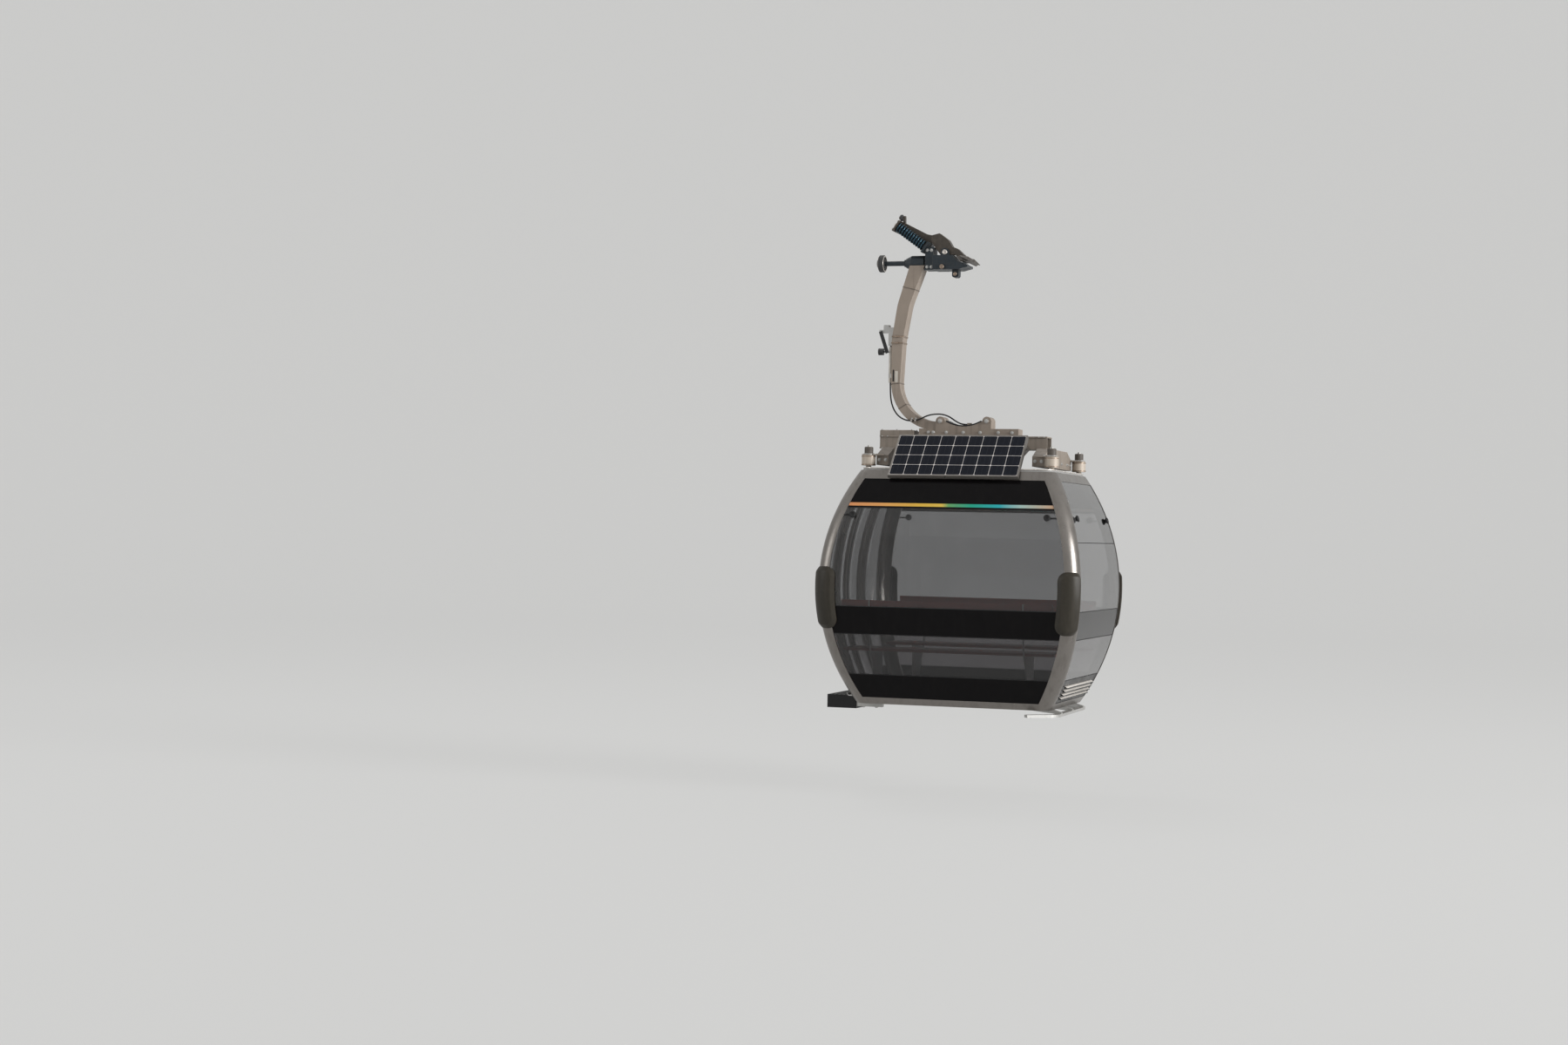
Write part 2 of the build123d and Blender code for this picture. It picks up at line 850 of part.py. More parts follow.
cable_radii = route_radii(cable_route)
print("cable bend radii", [round(radius) for radius in cable_radii])
with BuildPart() as door_cable:
    with BuildLine() as cable_line:
        FilletPolyline(*cable_route, radius=cable_radii)
    with BuildSketch(Plane(origin=cable_route[0], z_dir=(0, 0, -1))):
        Circle(cable_radius)
    sweep(path=cable_line.wires()[0])
door_cable.part.label = "door_cable"
export_step(door_cable.part, "parts/door_cable.step")

clip_point = cable_route[1]
with BuildPart() as cable_clip:
    with BuildSketch(Plane.XY.offset(cable_clip_z)):
        with Locations(((clip_point[0] - cable_clip_wall + arm_outer_x) / 2, clip_point[1])):
            Rectangle(arm_outer_x - clip_point[0] + cable_clip_wall, 2 * cable_clip_wall)
        with Locations((clip_point[0], clip_point[1])):
            Circle(cable_radius + cable_clip_gap, mode=Mode.SUBTRACT)
    extrude(amount=cable_clip_height)
    add(hanger_arm.part, mode=Mode.SUBTRACT)
cable_clip.part.label = "cable_clip"
export_step(cable_clip.part, "parts/cable_clip.step")

# Foot beam: carries the arm's lower end, with two lugs and a saddle between them
with BuildPart() as foot_beam:
    with BuildSketch(Plane.XZ):
        with Locations(
            ((foot_beam_start_x + arm_end_x) / 2, (foot_beam_low_z + foot_beam_high_z) / 2)
        ):
            Rectangle(arm_end_x - foot_beam_start_x, foot_beam_high_z - foot_beam_low_z)
        with Locations(bend_centre):
            Circle(arm_bend_outer_radius, mode=Mode.SUBTRACT)
        with Locations(((arm_end_x + foot_beam_end_x) / 2, (foot_beam_low_z + foot_beam_high_z) / 2)):
            Rectangle(foot_beam_end_x - arm_end_x, foot_beam_high_z - foot_beam_low_z)
        for centre_x in (-lug_x, lug_x):
            with Locations((centre_x, lug_centre_z)):
                Circle(lug_radius)
            with Locations((centre_x, (lug_centre_z + foot_beam_high_z) / 2)):
                Rectangle(2 * lug_radius, lug_centre_z - foot_beam_high_z)
        with BuildLine():
            ThreePointArc(
                (lug_radius - lug_x, lug_centre_z), (0, saddle_low_z), (lug_x - lug_radius, lug_centre_z)
            )
            Polyline(
                (lug_x - lug_radius, lug_centre_z),
                (lug_x - lug_radius, foot_beam_high_z),
                (lug_radius - lug_x, foot_beam_high_z),
                (lug_radius - lug_x, lug_centre_z),
            )
        make_face()
    extrude(amount=foot_beam_half_depth, both=True)
    with BuildSketch(Plane.XZ):
        with Locations((-lug_x, lug_centre_z), (lug_x, lug_centre_z)):
            Circle(lug_pin_radius)
    extrude(amount=foot_beam_half_depth + lug_pin_reach, both=True)
    gland_height = cable_route[-1][2] + 2 * cable_radius - foot_beam_high_z
    with BuildSketch(Plane.XY.offset(foot_beam_high_z)):
        with Locations((cable_gland_x + cable_gland_length / 2, cable_route[-1][1])):
            Rectangle(cable_gland_length, 4 * cable_radius)
    extrude(amount=gland_height)
foot_beam.part.label = "foot_beam"
export_step(foot_beam.part, "parts/foot_beam.step")

# Roof frame: the main cross beam with the door drive's housing on its left end, and the
# two side beams with their post arms
main_beam_high_z = foot_beam_low_z
main_beam_height = main_beam_high_z - main_beam_low_z
with BuildPart() as main_beam:
    with BuildSketch(Plane.YZ.offset(-main_beam_half_length)):
        with Locations((0, (main_beam_low_z + main_beam_high_z) / 2)):
            Rectangle(2 * main_beam_half_depth, main_beam_height)
            with Locations((main_beam_half_depth, 0), (-main_beam_half_depth, 0)):
                Rectangle(
                    2 * main_beam_flange_reach,
                    main_beam_height - 2 * main_beam_plate,
                    mode=Mode.SUBTRACT,
                )
            Rectangle(
                2 * (main_beam_half_depth - main_beam_flange_reach - main_beam_plate),
                main_beam_height - 2 * main_beam_plate,
                mode=Mode.SUBTRACT,
            )
    extrude(amount=2 * main_beam_half_length)
    with BuildSketch(Plane.XY.offset(main_beam_high_z)):
        with Locations(((drive_box_start_x + drive_box_end_x) / 2, 0)):
            Rectangle(drive_box_length, 2 * drive_box_half_depth)
    extrude(amount=drive_box_height)
    chamfer(main_beam.edges().group_by(Axis.Z)[-1], length=drive_box_chamfer)
main_beam.part.label = "main_beam"
export_step(main_beam.part, "parts/main_beam.step")

side_beam_points = [
    (-side_beam_half_length, side_beam_low_z),
    (side_beam_half_length, side_beam_low_z),
    (side_beam_half_length, side_beam_end_z),
    (side_beam_hump_half, main_beam_low_z),
    (-side_beam_hump_half, main_beam_low_z),
    (-side_beam_half_length, side_beam_end_z),
]
post_places = [
    (cabin_x + side * post_x, end * post_y) for side in (-1, 1) for end in (-1, 1)
]
post_arm_start_y = side_beam_half_length - (post_arm_edge + post_y - side_beam_half_length)
with BuildPart() as side_beams:
    for side in (-1, 1):
        with BuildSketch(Plane.YZ.offset(cabin_x + side * side_beam_x)):
            with BuildLine():
                Polyline(*side_beam_points, close=True)
            make_face()
        extrude(amount=side_beam_width / 2, both=True)
    with BuildSketch(Plane.XY.offset(post_neck_z)):
        for side in (-1, 1):
            for end in (-1, 1):
                near_x = cabin_x + side * (side_beam_x - post_arm_lap)
                far_x = cabin_x + side * (post_x + post_arm_edge)
                middle_y = end * (post_arm_start_y + post_y + post_arm_edge) / 2
                with Locations(((near_x + far_x) / 2, middle_y)):
                    Rectangle(abs(far_x - near_x), post_y + post_arm_edge - post_arm_start_y)
        with Locations(*post_places):
            Circle(post_neck_radius + post_arm_gap, mode=Mode.SUBTRACT)
    extrude(amount=post_step_z - post_neck_z)
side_beams.part.label = "side_beams"
export_step(side_beams.part, "parts/side_beams.step")

with BuildPart() as roof_posts:
    for low, high, radius in [
        (roof_top_z, post_low_z, post_foot_radius),
        (post_low_z, post_neck_z, post_radius),
        (post_neck_z, post_step_z, post_neck_radius),
    ]:
        with BuildSketch(Plane.XY.offset(low)):
            with Locations(*post_places):
                Circle(radius)
        extrude(amount=high - low)
roof_posts.part.label = "roof_posts"
export_step(roof_posts.part, "parts/roof_posts.step")

with BuildPart() as post_caps:
    with BuildSketch(Plane.XY.offset(post_step_z)):
        with Locations(*post_places):
            Circle(post_cap_radius)
    extrude(amount=post_top_z - post_step_z)
    chamfer(post_caps.edges().group_by(Axis.Z)[-1], length=post_cap_chamfer)
post_caps.part.label = "post_caps"
export_step(post_caps.part, "parts/post_caps.step")

# Solar panel over the rear edge of the roof, on two triangular brackets
solar_low_y = -half_span(half_length, 0, roof_rise) - solar_overhang
solar_plane = Plane(
    origin=(cabin_x, solar_low_y, solar_low_z),
    x_dir=(1, 0, 0),
    z_dir=(0, -sin(radians(solar_tilt)), cos(radians(solar_tilt))),
)


def solar_back(along):
    """A point of the solar panel's back, this far up its slope, as (y, z)."""
    tilt = radians(solar_tilt)
    y = solar_low_y + along * cos(tilt) + solar_thickness * sin(tilt)
    z = solar_low_z + along * sin(tilt) - solar_thickness * cos(tilt)
    return (y, z)


with BuildPart() as solar_frame:
    with BuildSketch(solar_plane):
        with Locations((0, solar_depth / 2)):
            Rectangle(solar_width, solar_depth)
            Rectangle(solar_width - 2 * solar_rim, solar_depth - 2 * solar_rim, mode=Mode.SUBTRACT)
    extrude(amount=-solar_thickness)
solar_frame.part.label = "solar_frame"
export_step(solar_frame.part, "parts/solar_frame.step")

with BuildPart() as solar_cells:
    with BuildSketch(solar_plane.offset(-solar_glass_recess)):
        with Locations((0, solar_depth / 2)):
            Rectangle(solar_width - 2 * solar_rim, solar_depth - 2 * solar_rim)
    extrude(amount=-solar_glass_thickness)
solar_cells.part.label = "solar_cells"
export_step(solar_cells.part, "parts/solar_cells.step")

with BuildPart() as solar_brackets:
    for side in (-1, 1):
        with BuildSketch(Plane.YZ.offset(cabin_x + side * (solar_width / 2 - solar_bracket_edge))):
            with BuildLine():
                Polyline(
                    solar_back(solar_bracket_start),
                    solar_back(solar_bracket_end),
                    (-main_beam_half_depth, main_beam_low_z + main_beam_plate),
                    (-main_beam_half_depth, main_beam_low_z),
                    close=True,
                )
            make_face()
            offset(amount=-solar_bracket_bar, kind=Kind.INTERSECTION, mode=Mode.SUBTRACT)
        extrude(amount=solar_bracket_thickness / 2, both=True)
        with BuildSketch(Plane.YZ.offset(cabin_x + side * (solar_width / 2 - solar_foot_edge))):
            with BuildLine():
                Polyline(
                    solar_back(solar_foot_start),
                    solar_back(solar_foot_end),
                    (-half_length / 2, solar_back(solar_foot_end)[1]),
                    (-half_length / 2, solar_back(solar_foot_start)[1]),
                    close=True,
                )
            make_face()
        extrude(amount=solar_foot_width / 2, both=True)
    add(bulge_prism("X", 0, 0, roof_rise), mode=Mode.SUBTRACT)
solar_brackets.part.label = "solar_brackets"
export_step(solar_brackets.part, "parts/solar_brackets.step")

# Cabin frame: four corner pillars, top rails, bottom rails, roof, ceiling and floor
with BuildPart() as corner_pillars:
    add(on_four_corners(corner_shell(0, pillar_depth, corner_radius, -floor_drop, roof_rise)))
corner_pillars.part.label = "corner_pillars"
export_step(corner_pillars.part, "parts/corner_pillars.step")


def rails(low, high):
    """The four rails between the corner pillars, from one rise to another."""
    end_rail = wall_panel("end", 0, rail_depth, low, high, trim=corner_radius)
    with BuildPart() as four:
        add(end_rail)
        mirror(about=Plane.XZ)
        add(wall_panel("right", 0, rail_depth, low, high, trim=corner_radius))
        add(wall_panel("left", 0, rail_depth, low, high, trim=corner_radius))
    return four.part


with BuildPart() as top_rails:
    add(rails(top_rail_low, roof_rise))
top_rails.part.label = "top_rails"
export_step(top_rails.part, "parts/top_rails.step")

with BuildPart() as bottom_rails:
    add(rails(-floor_drop, bottom_rail_high))
bottom_rails.part.label = "bottom_rails"
export_step(bottom_rails.part, "parts/bottom_rails.step")

for name, depth, low, high in [
    ("roof_plate", roof_plate_inset, roof_rise, roof_rise + roof_plate_thickness),
    ("ceiling", rail_depth, roof_rise - ceiling_thickness, roof_rise),
    ("floor", rail_depth, -floor_drop, floor_thickness - floor_drop),
    ("floor_mat", mat_inset, floor_thickness - floor_drop, floor_thickness + mat_thickness - floor_drop),
]:
    with BuildPart() as level:
        add(level_plate(depth, low, high))
    level.part.label = name
    export_step(level.part, f"parts/{name}.step")

# End walls: front and rear panels of each height share a node
for name, low, high in [
    ("end_headers", end_header_low, top_rail_low),
    ("end_windows", waist_high, end_header_low),
    ("end_waists", waist_low, waist_high),
    ("end_lower_windows", lower_window_low, waist_low),
    ("end_lower_panels", bottom_rail_high, lower_window_low),
]:
    with BuildPart() as end_panels:
        add(wall_panel("end", panel_depth, panel_thickness, low, high))
        mirror(about=Plane.XZ)
    end_panels.part.label = name
    export_step(end_panels.part, f"parts/{name}.step")

# Right side: the same panels, with a window that vents at the top and louvres at the bottom
for name, low, high in [
    ("right_vent", vent_low, top_rail_low),
    ("right_window", waist_high, vent_low),
    ("right_waist", waist_low, waist_high),
    ("right_lower_window", louvre_panel_high, waist_low),
]:
    with BuildPart() as right_panel:
        add(wall_panel("right", panel_depth, panel_thickness, low, high))
    right_panel.part.label = name
    export_step(right_panel.part, f"parts/{name}.step")

louvre_pitch = (louvre_high - louvre_low) / louvre_count
louvre_half_length = half_span(half_length, panel_trim, louvre_low) - louvre_margin
with BuildPart() as louvre_panel:
    add(wall_panel("right", panel_depth, panel_thickness, bottom_rail_high, louvre_panel_high))
    for index in range(louvre_count):
        slot_high = louvre_high - index * louvre_pitch
        skin_x = cabin_x + half_span(half_width, panel_depth, slot_high)
        slot_low = slot_high - louvre_slot
        with BuildSketch(Plane.XZ):
            with BuildLine():
                Polyline(
                    (skin_x - louvre_reach - panel_thickness, widest_z + slot_high),
                    (skin_x + louvre_reach, widest_z + slot_high),
                    (skin_x + louvre_reach, widest_z + slot_low),
                    (skin_x - louvre_reach - panel_thickness, widest_z + slot_low),
                    close=True,
                )
            make_face()
        extrude(amount=louvre_half_length, both=True, mode=Mode.SUBTRACT)
        with BuildSketch(Plane.XZ):
            with BuildLine():
                Polyline(
                    (skin_x - panel_thickness, widest_z + slot_high + louvre_thickness),
                    (skin_x - panel_thickness, widest_z + slot_high),
                    (skin_x + louvre_reach, widest_z + slot_low),
                    (skin_x + louvre_reach, widest_z + slot_low + louvre_thickness),
                    close=True,
                )
            make_face()
        extrude(amount=louvre_half_length, both=True)
louvre_panel.part.label = "louvre_panel"
export_step(louvre_panel.part, "parts/louvre_panel.step")

# Left side: fixed panes beside the doorway, its jambs, and the recessed header with the track
fixed_start = opening_half + jamb_width


def left_pair(depth, thickness, low, high, start, stop=body_width):
    """Two like pieces of the left wall, in front of and behind the doorway."""
    whole = wall_panel("left", depth, thickness, low, high)
    low_z = widest_z + low
    high_z = widest_z + high
    with BuildPart() as pair:
        add(whole)
        add(slab((-body_width, start, low_z), (0, stop, high_z)), mode=Mode.INTERSECT)
        mirror(about=Plane.XZ)
    return pair.part


with BuildPart() as left_windows:
    add(left_pair(panel_depth, panel_thickness, waist_high, opening_high, fixed_start))
    add(left_pair(panel_depth, panel_thickness, lower_window_low, waist_low, fixed_start))
left_windows.part.label = "left_windows"
export_step(left_windows.part, "parts/left_windows.step")

with BuildPart() as left_panels:
    add(left_pair(panel_depth, panel_thickness, waist_low, waist_high, fixed_start))
    add(left_pair(panel_depth, panel_thickness, bottom_rail_high, lower_window_low, fixed_start))
left_panels.part.label = "left_panels"
export_step(left_panels.part, "parts/left_panels.step")

with BuildPart() as door_jambs:
    add(left_pair(0, jamb_depth, bottom_rail_high, opening_high, opening_half, fixed_start))
door_jambs.part.label = "door_jambs"
export_step(door_jambs.part, "parts/door_jambs.step")

with BuildPart() as left_header:
    add(wall_panel("left", track_recess, panel_thickness, opening_high, top_rail_low))
    add(wall_panel("left", 0, track_recess, opening_high, opening_high + soffit_thickness))
left_header.part.label = "left_header"
export_step(left_header.part, "parts/left_header.step")

with BuildPart() as door_track:
    add(wall_panel("left", track_recess - track_depth, track_depth, track_low, track_low + track_height))
    add(
        slab(
            (-body_width, -track_half_length, widest_z + track_low),
            (0, track_half_length, widest_z + track_low + track_height),
        ),
        mode=Mode.INTERSECT,
    )
door_track.part.label = "door_track"
export_step(door_track.part, "parts/door_track.step")

guide_slab = slab((-body_width, -guide_half_length, roof_z - body_width), (0, guide_half_length, roof_z))
with BuildPart() as door_guide:
    for outer_depth, inner_depth, low, high in [
        (guide_outer_depth, 0, guide_low, guide_low + guide_thickness),
        (guide_outer_depth, guide_outer_depth + guide_lip_width, guide_low, guide_lip_high),
        (-guide_lip_width, 0, guide_low, guide_lip_high),
    ]:
        add(wall_panel("left", outer_depth, inner_depth - outer_depth, low, high))
    add(guide_slab, mode=Mode.INTERSECT)
door_guide.part.label = "door_guide"
export_step(door_guide.part, "parts/door_guide.step")


# Doors: two leaves that slide apart along the outside of the left wall
leaf_start = door_meeting_gap / 2
leaf_end = leaf_start + door_leaf_width
pane_start = leaf_start + door_seal_width + door_rim
pane_end = leaf_end - door_rim
door_depth = -door_gap - door_thickness
pane_rises = [(door_low + door_rim, waist_low), (waist_high, door_high - door_rim)]


def leaf_shell(outer_depth, thickness, low, high, start, stop):
    """A curved piece of a leaf in front of the body, between two distances from the middle."""
    outer = bulge_prism("Y", outer_depth, low, high)
    inner = bulge_prism("Y", outer_depth + thickness, low - 1, high + 1)
    with BuildPart() as shell:
        add(outer)
        add(inner, mode=Mode.SUBTRACT)
        add(slab((-body_width, start, widest_z + low), (0, stop, widest_z + high)), mode=Mode.INTERSECT)
    return shell.part


carriage_low = door_high
carriage_high = track_low + track_height + carriage_gap + carriage_height
with BuildPart() as leaf_frame:
    add(leaf_shell(door_depth, door_thickness, door_low, door_high, leaf_start + door_seal_width, leaf_end))
    for low, high in pane_rises:
        add(
            slab((-body_width, pane_start, widest_z + low), (0, pane_end, widest_z + high)),
            mode=Mode.SUBTRACT,
        )
    for place in carriage_places:
        edges = (leaf_start + place - carriage_width / 2, leaf_start + place + carriage_width / 2)
        add(leaf_shell(-door_gap - carriage_plate, carriage_plate, carriage_low, carriage_high, *edges))
        add(
            leaf_shell(
                -door_gap - carriage_plate,
                door_gap + carriage_plate + carriage_reach,
                carriage_high - carriage_height,
                carriage_high,
                *edges,
            )
        )
    add(
        leaf_shell(
            shoe_depth, shoe_thickness, shoe_low, door_low, leaf_start + door_seal_width, leaf_end
        )
    )
with BuildPart() as leaf_glass:
    for low, high in pane_rises:
        pane_depth = door_depth + (door_thickness - door_glass_thickness) / 2
        add(leaf_shell(pane_depth, door_glass_thickness, low, high, pane_start, pane_end))
with BuildPart() as leaf_seal:
    add(
        leaf_shell(
            door_depth, door_thickness, door_low, door_high, leaf_start, leaf_start + door_seal_width
        )
    )

for piece, solid in [("frame", leaf_frame), ("glass", leaf_glass), ("seal", leaf_seal)]:
    with BuildPart() as front_piece:
        add(solid.part)
    front_piece.part.label = f"door_front_{piece}"
    export_step(front_piece.part, f"parts/door_front_{piece}.step")
    with BuildPart() as rear_piece:
        add(solid.part)
        mirror(about=Plane.XZ, mode=Mode.REPLACE)
    rear_piece.part.label = f"door_rear_{piece}"
    export_step(rear_piece.part, f"parts/door_rear_{piece}.step")

# Bumpers: thick pads round the four corners, with rounded ends and a sloping rim
bumper_low = -bumper_drop - bumper_height / 2
bumper_high = bumper_low + bumper_height
bumper_end_inset = bumper_end_reach - bumper_thickness
bumper_side_inset = bumper_side_reach - bumper_thickness


def bumper_side(plane, centre, half, inset, radius):
    """Everything that a bumper may fill on one wall, seen square on, with rounded free ends."""
    far = centre + 2 * half
    edge = [
        (centre + half_span(half, 0, rise) - inset, widest_z + rise)
        for rise in (bumper_low, (bumper_low + bumper_high) / 2, bumper_high)
    ]
    with BuildPart() as side_space:
        with BuildSketch(plane) as outline:
            with BuildLine():
                ThreePointArc(*edge)
                Polyline(edge[2], (far, edge[2][1]), (far, edge[0][1]), edge[0])
            make_face()
            free_ends = outline.vertices().group_by(Axis.X)
            fillet(free_ends[0] + free_ends[1], radius=radius)
        extrude(amount=body_width, both=True)
    return side_space.part


bumper_sides = [
    bumper_side(Plane.XZ, cabin_x, half_width, bumper_end_inset, bumper_end_radius),
    bumper_side(Plane.YZ, 0, half_length, bumper_side_inset, bumper_side_radius),
]
bumper_block = corner_shell(
    -bumper_thickness,
    0,
    max(bumper_end_inset, bumper_side_inset) + bumper_trim,
    bumper_low - bumper_trim,
    bumper_high + bumper_trim,
)
with BuildPart() as bumper:
    add(bumper_block)
    for side_space in bumper_sides:
        add(side_space, mode=Mode.INTERSECT)
    skin = bumper.faces().sort_by(SortBy.AREA)[-1]
    chamfer(skin.edges(), length=bumper_rim_slope, length2=bumper_rim_depth, reference=skin)
    skin = bumper.faces().sort_by(SortBy.AREA)[-1]
    fillet(skin.edges(), radius=bumper_rim_radius)
with BuildPart() as bumpers:
    add(on_four_corners(bumper.part))
bumpers.part.label = "bumpers"
export_step(bumpers.part, "parts/bumpers.step")

# Step in front of the doors, on two arms under the floor
step_inner_x = cabin_x - half_span(half_width, 0, step_top) - step_gap
step_outer_x = cabin_x - half_width - step_reach
step_low_z = widest_z + step_top - step_height
with BuildPart() as step:
    with BuildSketch(Plane.XZ):
        with BuildLine():
            Polyline(
                (step_outer_x, step_low_z),
                (step_outer_x, widest_z + step_top),
                (step_inner_x, widest_z + step_top),
                (step_inner_x, step_low_z),
                (step_inner_x - step_wall, step_low_z),
                (step_inner_x - step_wall, widest_z + step_top - step_wall),
                (step_outer_x + step_wall, widest_z + step_top - step_wall),
                (step_outer_x + step_wall, step_low_z),
                close=True,
            )
        make_face()
    extrude(amount=step_half_length, both=True)
    with BuildSketch(Plane.XZ):
        with Locations(((step_outer_x + step_inner_x) / 2, step_low_z + step_height / 2)):
            Rectangle(step_inner_x - step_outer_x, step_height)
    extrude(amount=step_wall, both=True)
    for end in (-1, 1):
        with BuildSketch(Plane.XZ.offset(end * (step_half_length - step_wall / 2))):
            with Locations(((step_outer_x + step_inner_x) / 2, step_low_z + step_height / 2)):
                Rectangle(step_inner_x - step_outer_x, step_height)
        extrude(amount=step_wall / 2, both=True)
step.part.label = "step"
export_step(step.part, "parts/step.step")

with BuildPart() as step_arms:
    for end in (-1, 1):
        with BuildSketch(Plane.XY.offset(floor_low_z)):
            with Locations(((step_inner_x + step_arm_end_x) / 2, end * step_arm_y)):
                Rectangle(step_arm_end_x - step_inner_x, step_arm_width)
        extrude(amount=-step_arm_drop)
step_arms.part.label = "step_arms"
export_step(step_arms.part, "parts/step_arms.step")

# Skid: the guide bar under the right side, which the station's rail holds
skid_centre_x = cabin_x + skid_x
with BuildPart() as skid:
    with BuildSketch(Plane.XY.offset(skid_low_z)):
        with BuildLine() as skid_line:
            FilletPolyline(
                (skid_centre_x - skid_end_shift, skid_end_inset_y - half_length),
                (skid_centre_x, skid_bend_inset_y - half_length),
                (skid_centre_x, half_length - skid_bend_inset_y),
                (skid_centre_x - skid_end_shift, half_length - skid_end_inset_y),
                radius=skid_bend_radius,
            )
        trace(line_width=skid_width)
    extrude(amount=skid_thickness)
skid.part.label = "skid"
export_step(skid.part, "parts/skid.step")

skid_top_z = skid_low_z + skid_thickness
skid_bracket_start_x = skid_centre_x - skid_bracket_start
skid_bracket_floor_x = skid_centre_x - skid_bracket_floor
with BuildPart() as skid_brackets:
    for place_y in (-skid_bracket_y, 0, skid_bracket_y):
        with BuildSketch(Plane.XZ.offset(place_y - skid_bracket_width / 2)):
            with BuildLine():
                Polyline(
                    (skid_bracket_start_x, floor_low_z),
                    (skid_bracket_floor_x, floor_low_z),
                    (skid_centre_x + skid_width / 2, skid_top_z + skid_bracket_plate),
                    (skid_centre_x + skid_width / 2, skid_top_z),
                    (skid_centre_x - skid_width / 2, skid_top_z),
                    (skid_bracket_start_x, floor_low_z - skid_bracket_plate),
                    close=True,
                )
            make_face()
        extrude(amount=skid_bracket_width)
skid_brackets.part.label = "skid_brackets"
export_step(skid_brackets.part, "parts/skid_brackets.step")

# Benches at both ends: slatted seats and backs on plates that stand on the floor
seat_top_z = mat_top_z + seat_height
slat_depth = (seat_depth - (seat_slats - 1) * seat_slat_gap) / seat_slats
with BuildPart() as seat_boards:
    for index in range(seat_slats):
        middle_y = -seat_front - slat_depth / 2 - index * (slat_depth + seat_slat_gap)
        with BuildSketch(Plane.XY.offset(seat_top_z)):
            with Locations((cabin_x, middle_y)):
                RectangleRounded(2 * seat_half_width, slat_depth, seat_corner)
        extrude(amount=-seat_thickness)
    mirror(about=Plane.XZ)
seat_boards.part.label = "seat_boards"
export_step(seat_boards.part, "parts/seat_boards.step")

seat_top_rise = seat_top_z - widest_z
back_depth = pillar_depth + wall_clearance
with BuildPart() as seat_backs:
    for index in range(back_slats):
        low = seat_top_rise + back_low + index * (back_slat_height + back_slat_gap)
        add(wall_panel("end", back_depth, back_thickness, low, low + back_slat_height, trim=back_trim))
    mirror(about=Plane.XZ)
seat_backs.part.label = "seat_backs"
export_step(seat_backs.part, "parts/seat_backs.step")

seat_low_z = seat_top_z - seat_thickness
back_top_rise = seat_top_rise + back_low + back_slats * back_slat_height + (back_slats - 1) * back_slat_gap
seat_leg_front = seat_front + seat_leg_start
seat_leg_back = seat_leg_front + seat_leg_width


def seat_stay(middle_x):
    """The curved bar behind a bench's back boards, from its leg up to the top board."""
    low = seat_low_z - widest_z - seat_leg_bar
    curved = wall_panel("end", pillar_depth, wall_clearance, low, back_top_rise)
    half = seat_bracket_thickness / 2
    with BuildPart() as stay:
        add(curved)
        add(
            slab((middle_x - half, -body_width, floor_low_z), (middle_x + half, 0, roof_z)),
            mode=Mode.INTERSECT,
        )
    return stay.part


with BuildPart() as seat_brackets:
    for side in (-1, 1):
        with BuildSketch(Plane.YZ.offset(cabin_x + side * seat_bracket_x)):
            with BuildLine():
                Polyline(
                    (-seat_front - seat_leg_inset, seat_low_z),
                    (-seat_rear, seat_low_z),
                    (-seat_leg_back, mat_top_z),
                    (-seat_leg_front, mat_top_z),
                    (-seat_leg_front, seat_low_z - seat_leg_bar),
                    (-seat_front - seat_leg_inset, seat_low_z - seat_leg_bar),
                    close=True,
                )
            make_face()
        extrude(amount=seat_bracket_thickness / 2, both=True)
        add(seat_stay(cabin_x + side * seat_bracket_x))
    mirror(about=Plane.XZ)
seat_brackets.part.label = "seat_brackets"
export_step(seat_brackets.part, "parts/seat_brackets.step")
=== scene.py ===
"""The looks of a detachable cable car cabin, built round its packed CAD frame.

Every length is in metres, in the frame's own axes: +Z is up, +Y is the way of travel along the
rope, and the doors are on the -X side. The origin is the middle of the gripped rope.
"""

from __future__ import annotations

import json
import logging
import math
from collections.abc import Callable, Iterable, Sequence
from dataclasses import dataclass
from enum import Enum
from itertools import product

import bpy
from mathutils import Matrix, Vector

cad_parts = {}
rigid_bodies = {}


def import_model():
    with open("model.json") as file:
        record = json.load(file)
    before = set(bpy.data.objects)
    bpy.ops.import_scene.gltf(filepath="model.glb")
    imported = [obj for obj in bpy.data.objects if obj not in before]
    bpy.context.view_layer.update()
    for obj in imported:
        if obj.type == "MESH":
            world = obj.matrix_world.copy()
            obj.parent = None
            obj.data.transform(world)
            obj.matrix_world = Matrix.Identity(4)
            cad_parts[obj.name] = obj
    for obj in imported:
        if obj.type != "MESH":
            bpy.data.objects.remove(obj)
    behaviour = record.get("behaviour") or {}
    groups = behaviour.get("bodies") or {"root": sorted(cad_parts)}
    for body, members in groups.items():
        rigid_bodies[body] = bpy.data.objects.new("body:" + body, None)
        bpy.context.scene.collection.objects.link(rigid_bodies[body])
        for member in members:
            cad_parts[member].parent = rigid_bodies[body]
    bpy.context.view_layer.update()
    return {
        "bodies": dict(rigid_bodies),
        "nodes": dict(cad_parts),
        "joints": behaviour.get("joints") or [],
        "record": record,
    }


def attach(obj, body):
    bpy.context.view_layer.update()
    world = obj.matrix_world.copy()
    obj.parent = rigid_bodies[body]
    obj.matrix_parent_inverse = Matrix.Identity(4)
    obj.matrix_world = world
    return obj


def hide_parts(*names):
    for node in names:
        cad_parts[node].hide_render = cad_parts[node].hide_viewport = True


LOG = logging.getLogger("cabin")
AXIS_X = Vector((1.0, 0.0, 0.0))
AXIS_Y = Vector((0.0, 1.0, 0.0))
AXIS_Z = Vector((0.0, 0.0, 1.0))
Color = tuple[float, float, float]
Profile = tuple[tuple[float, float], ...]
Spot = tuple[Sequence[float], Sequence[float]]


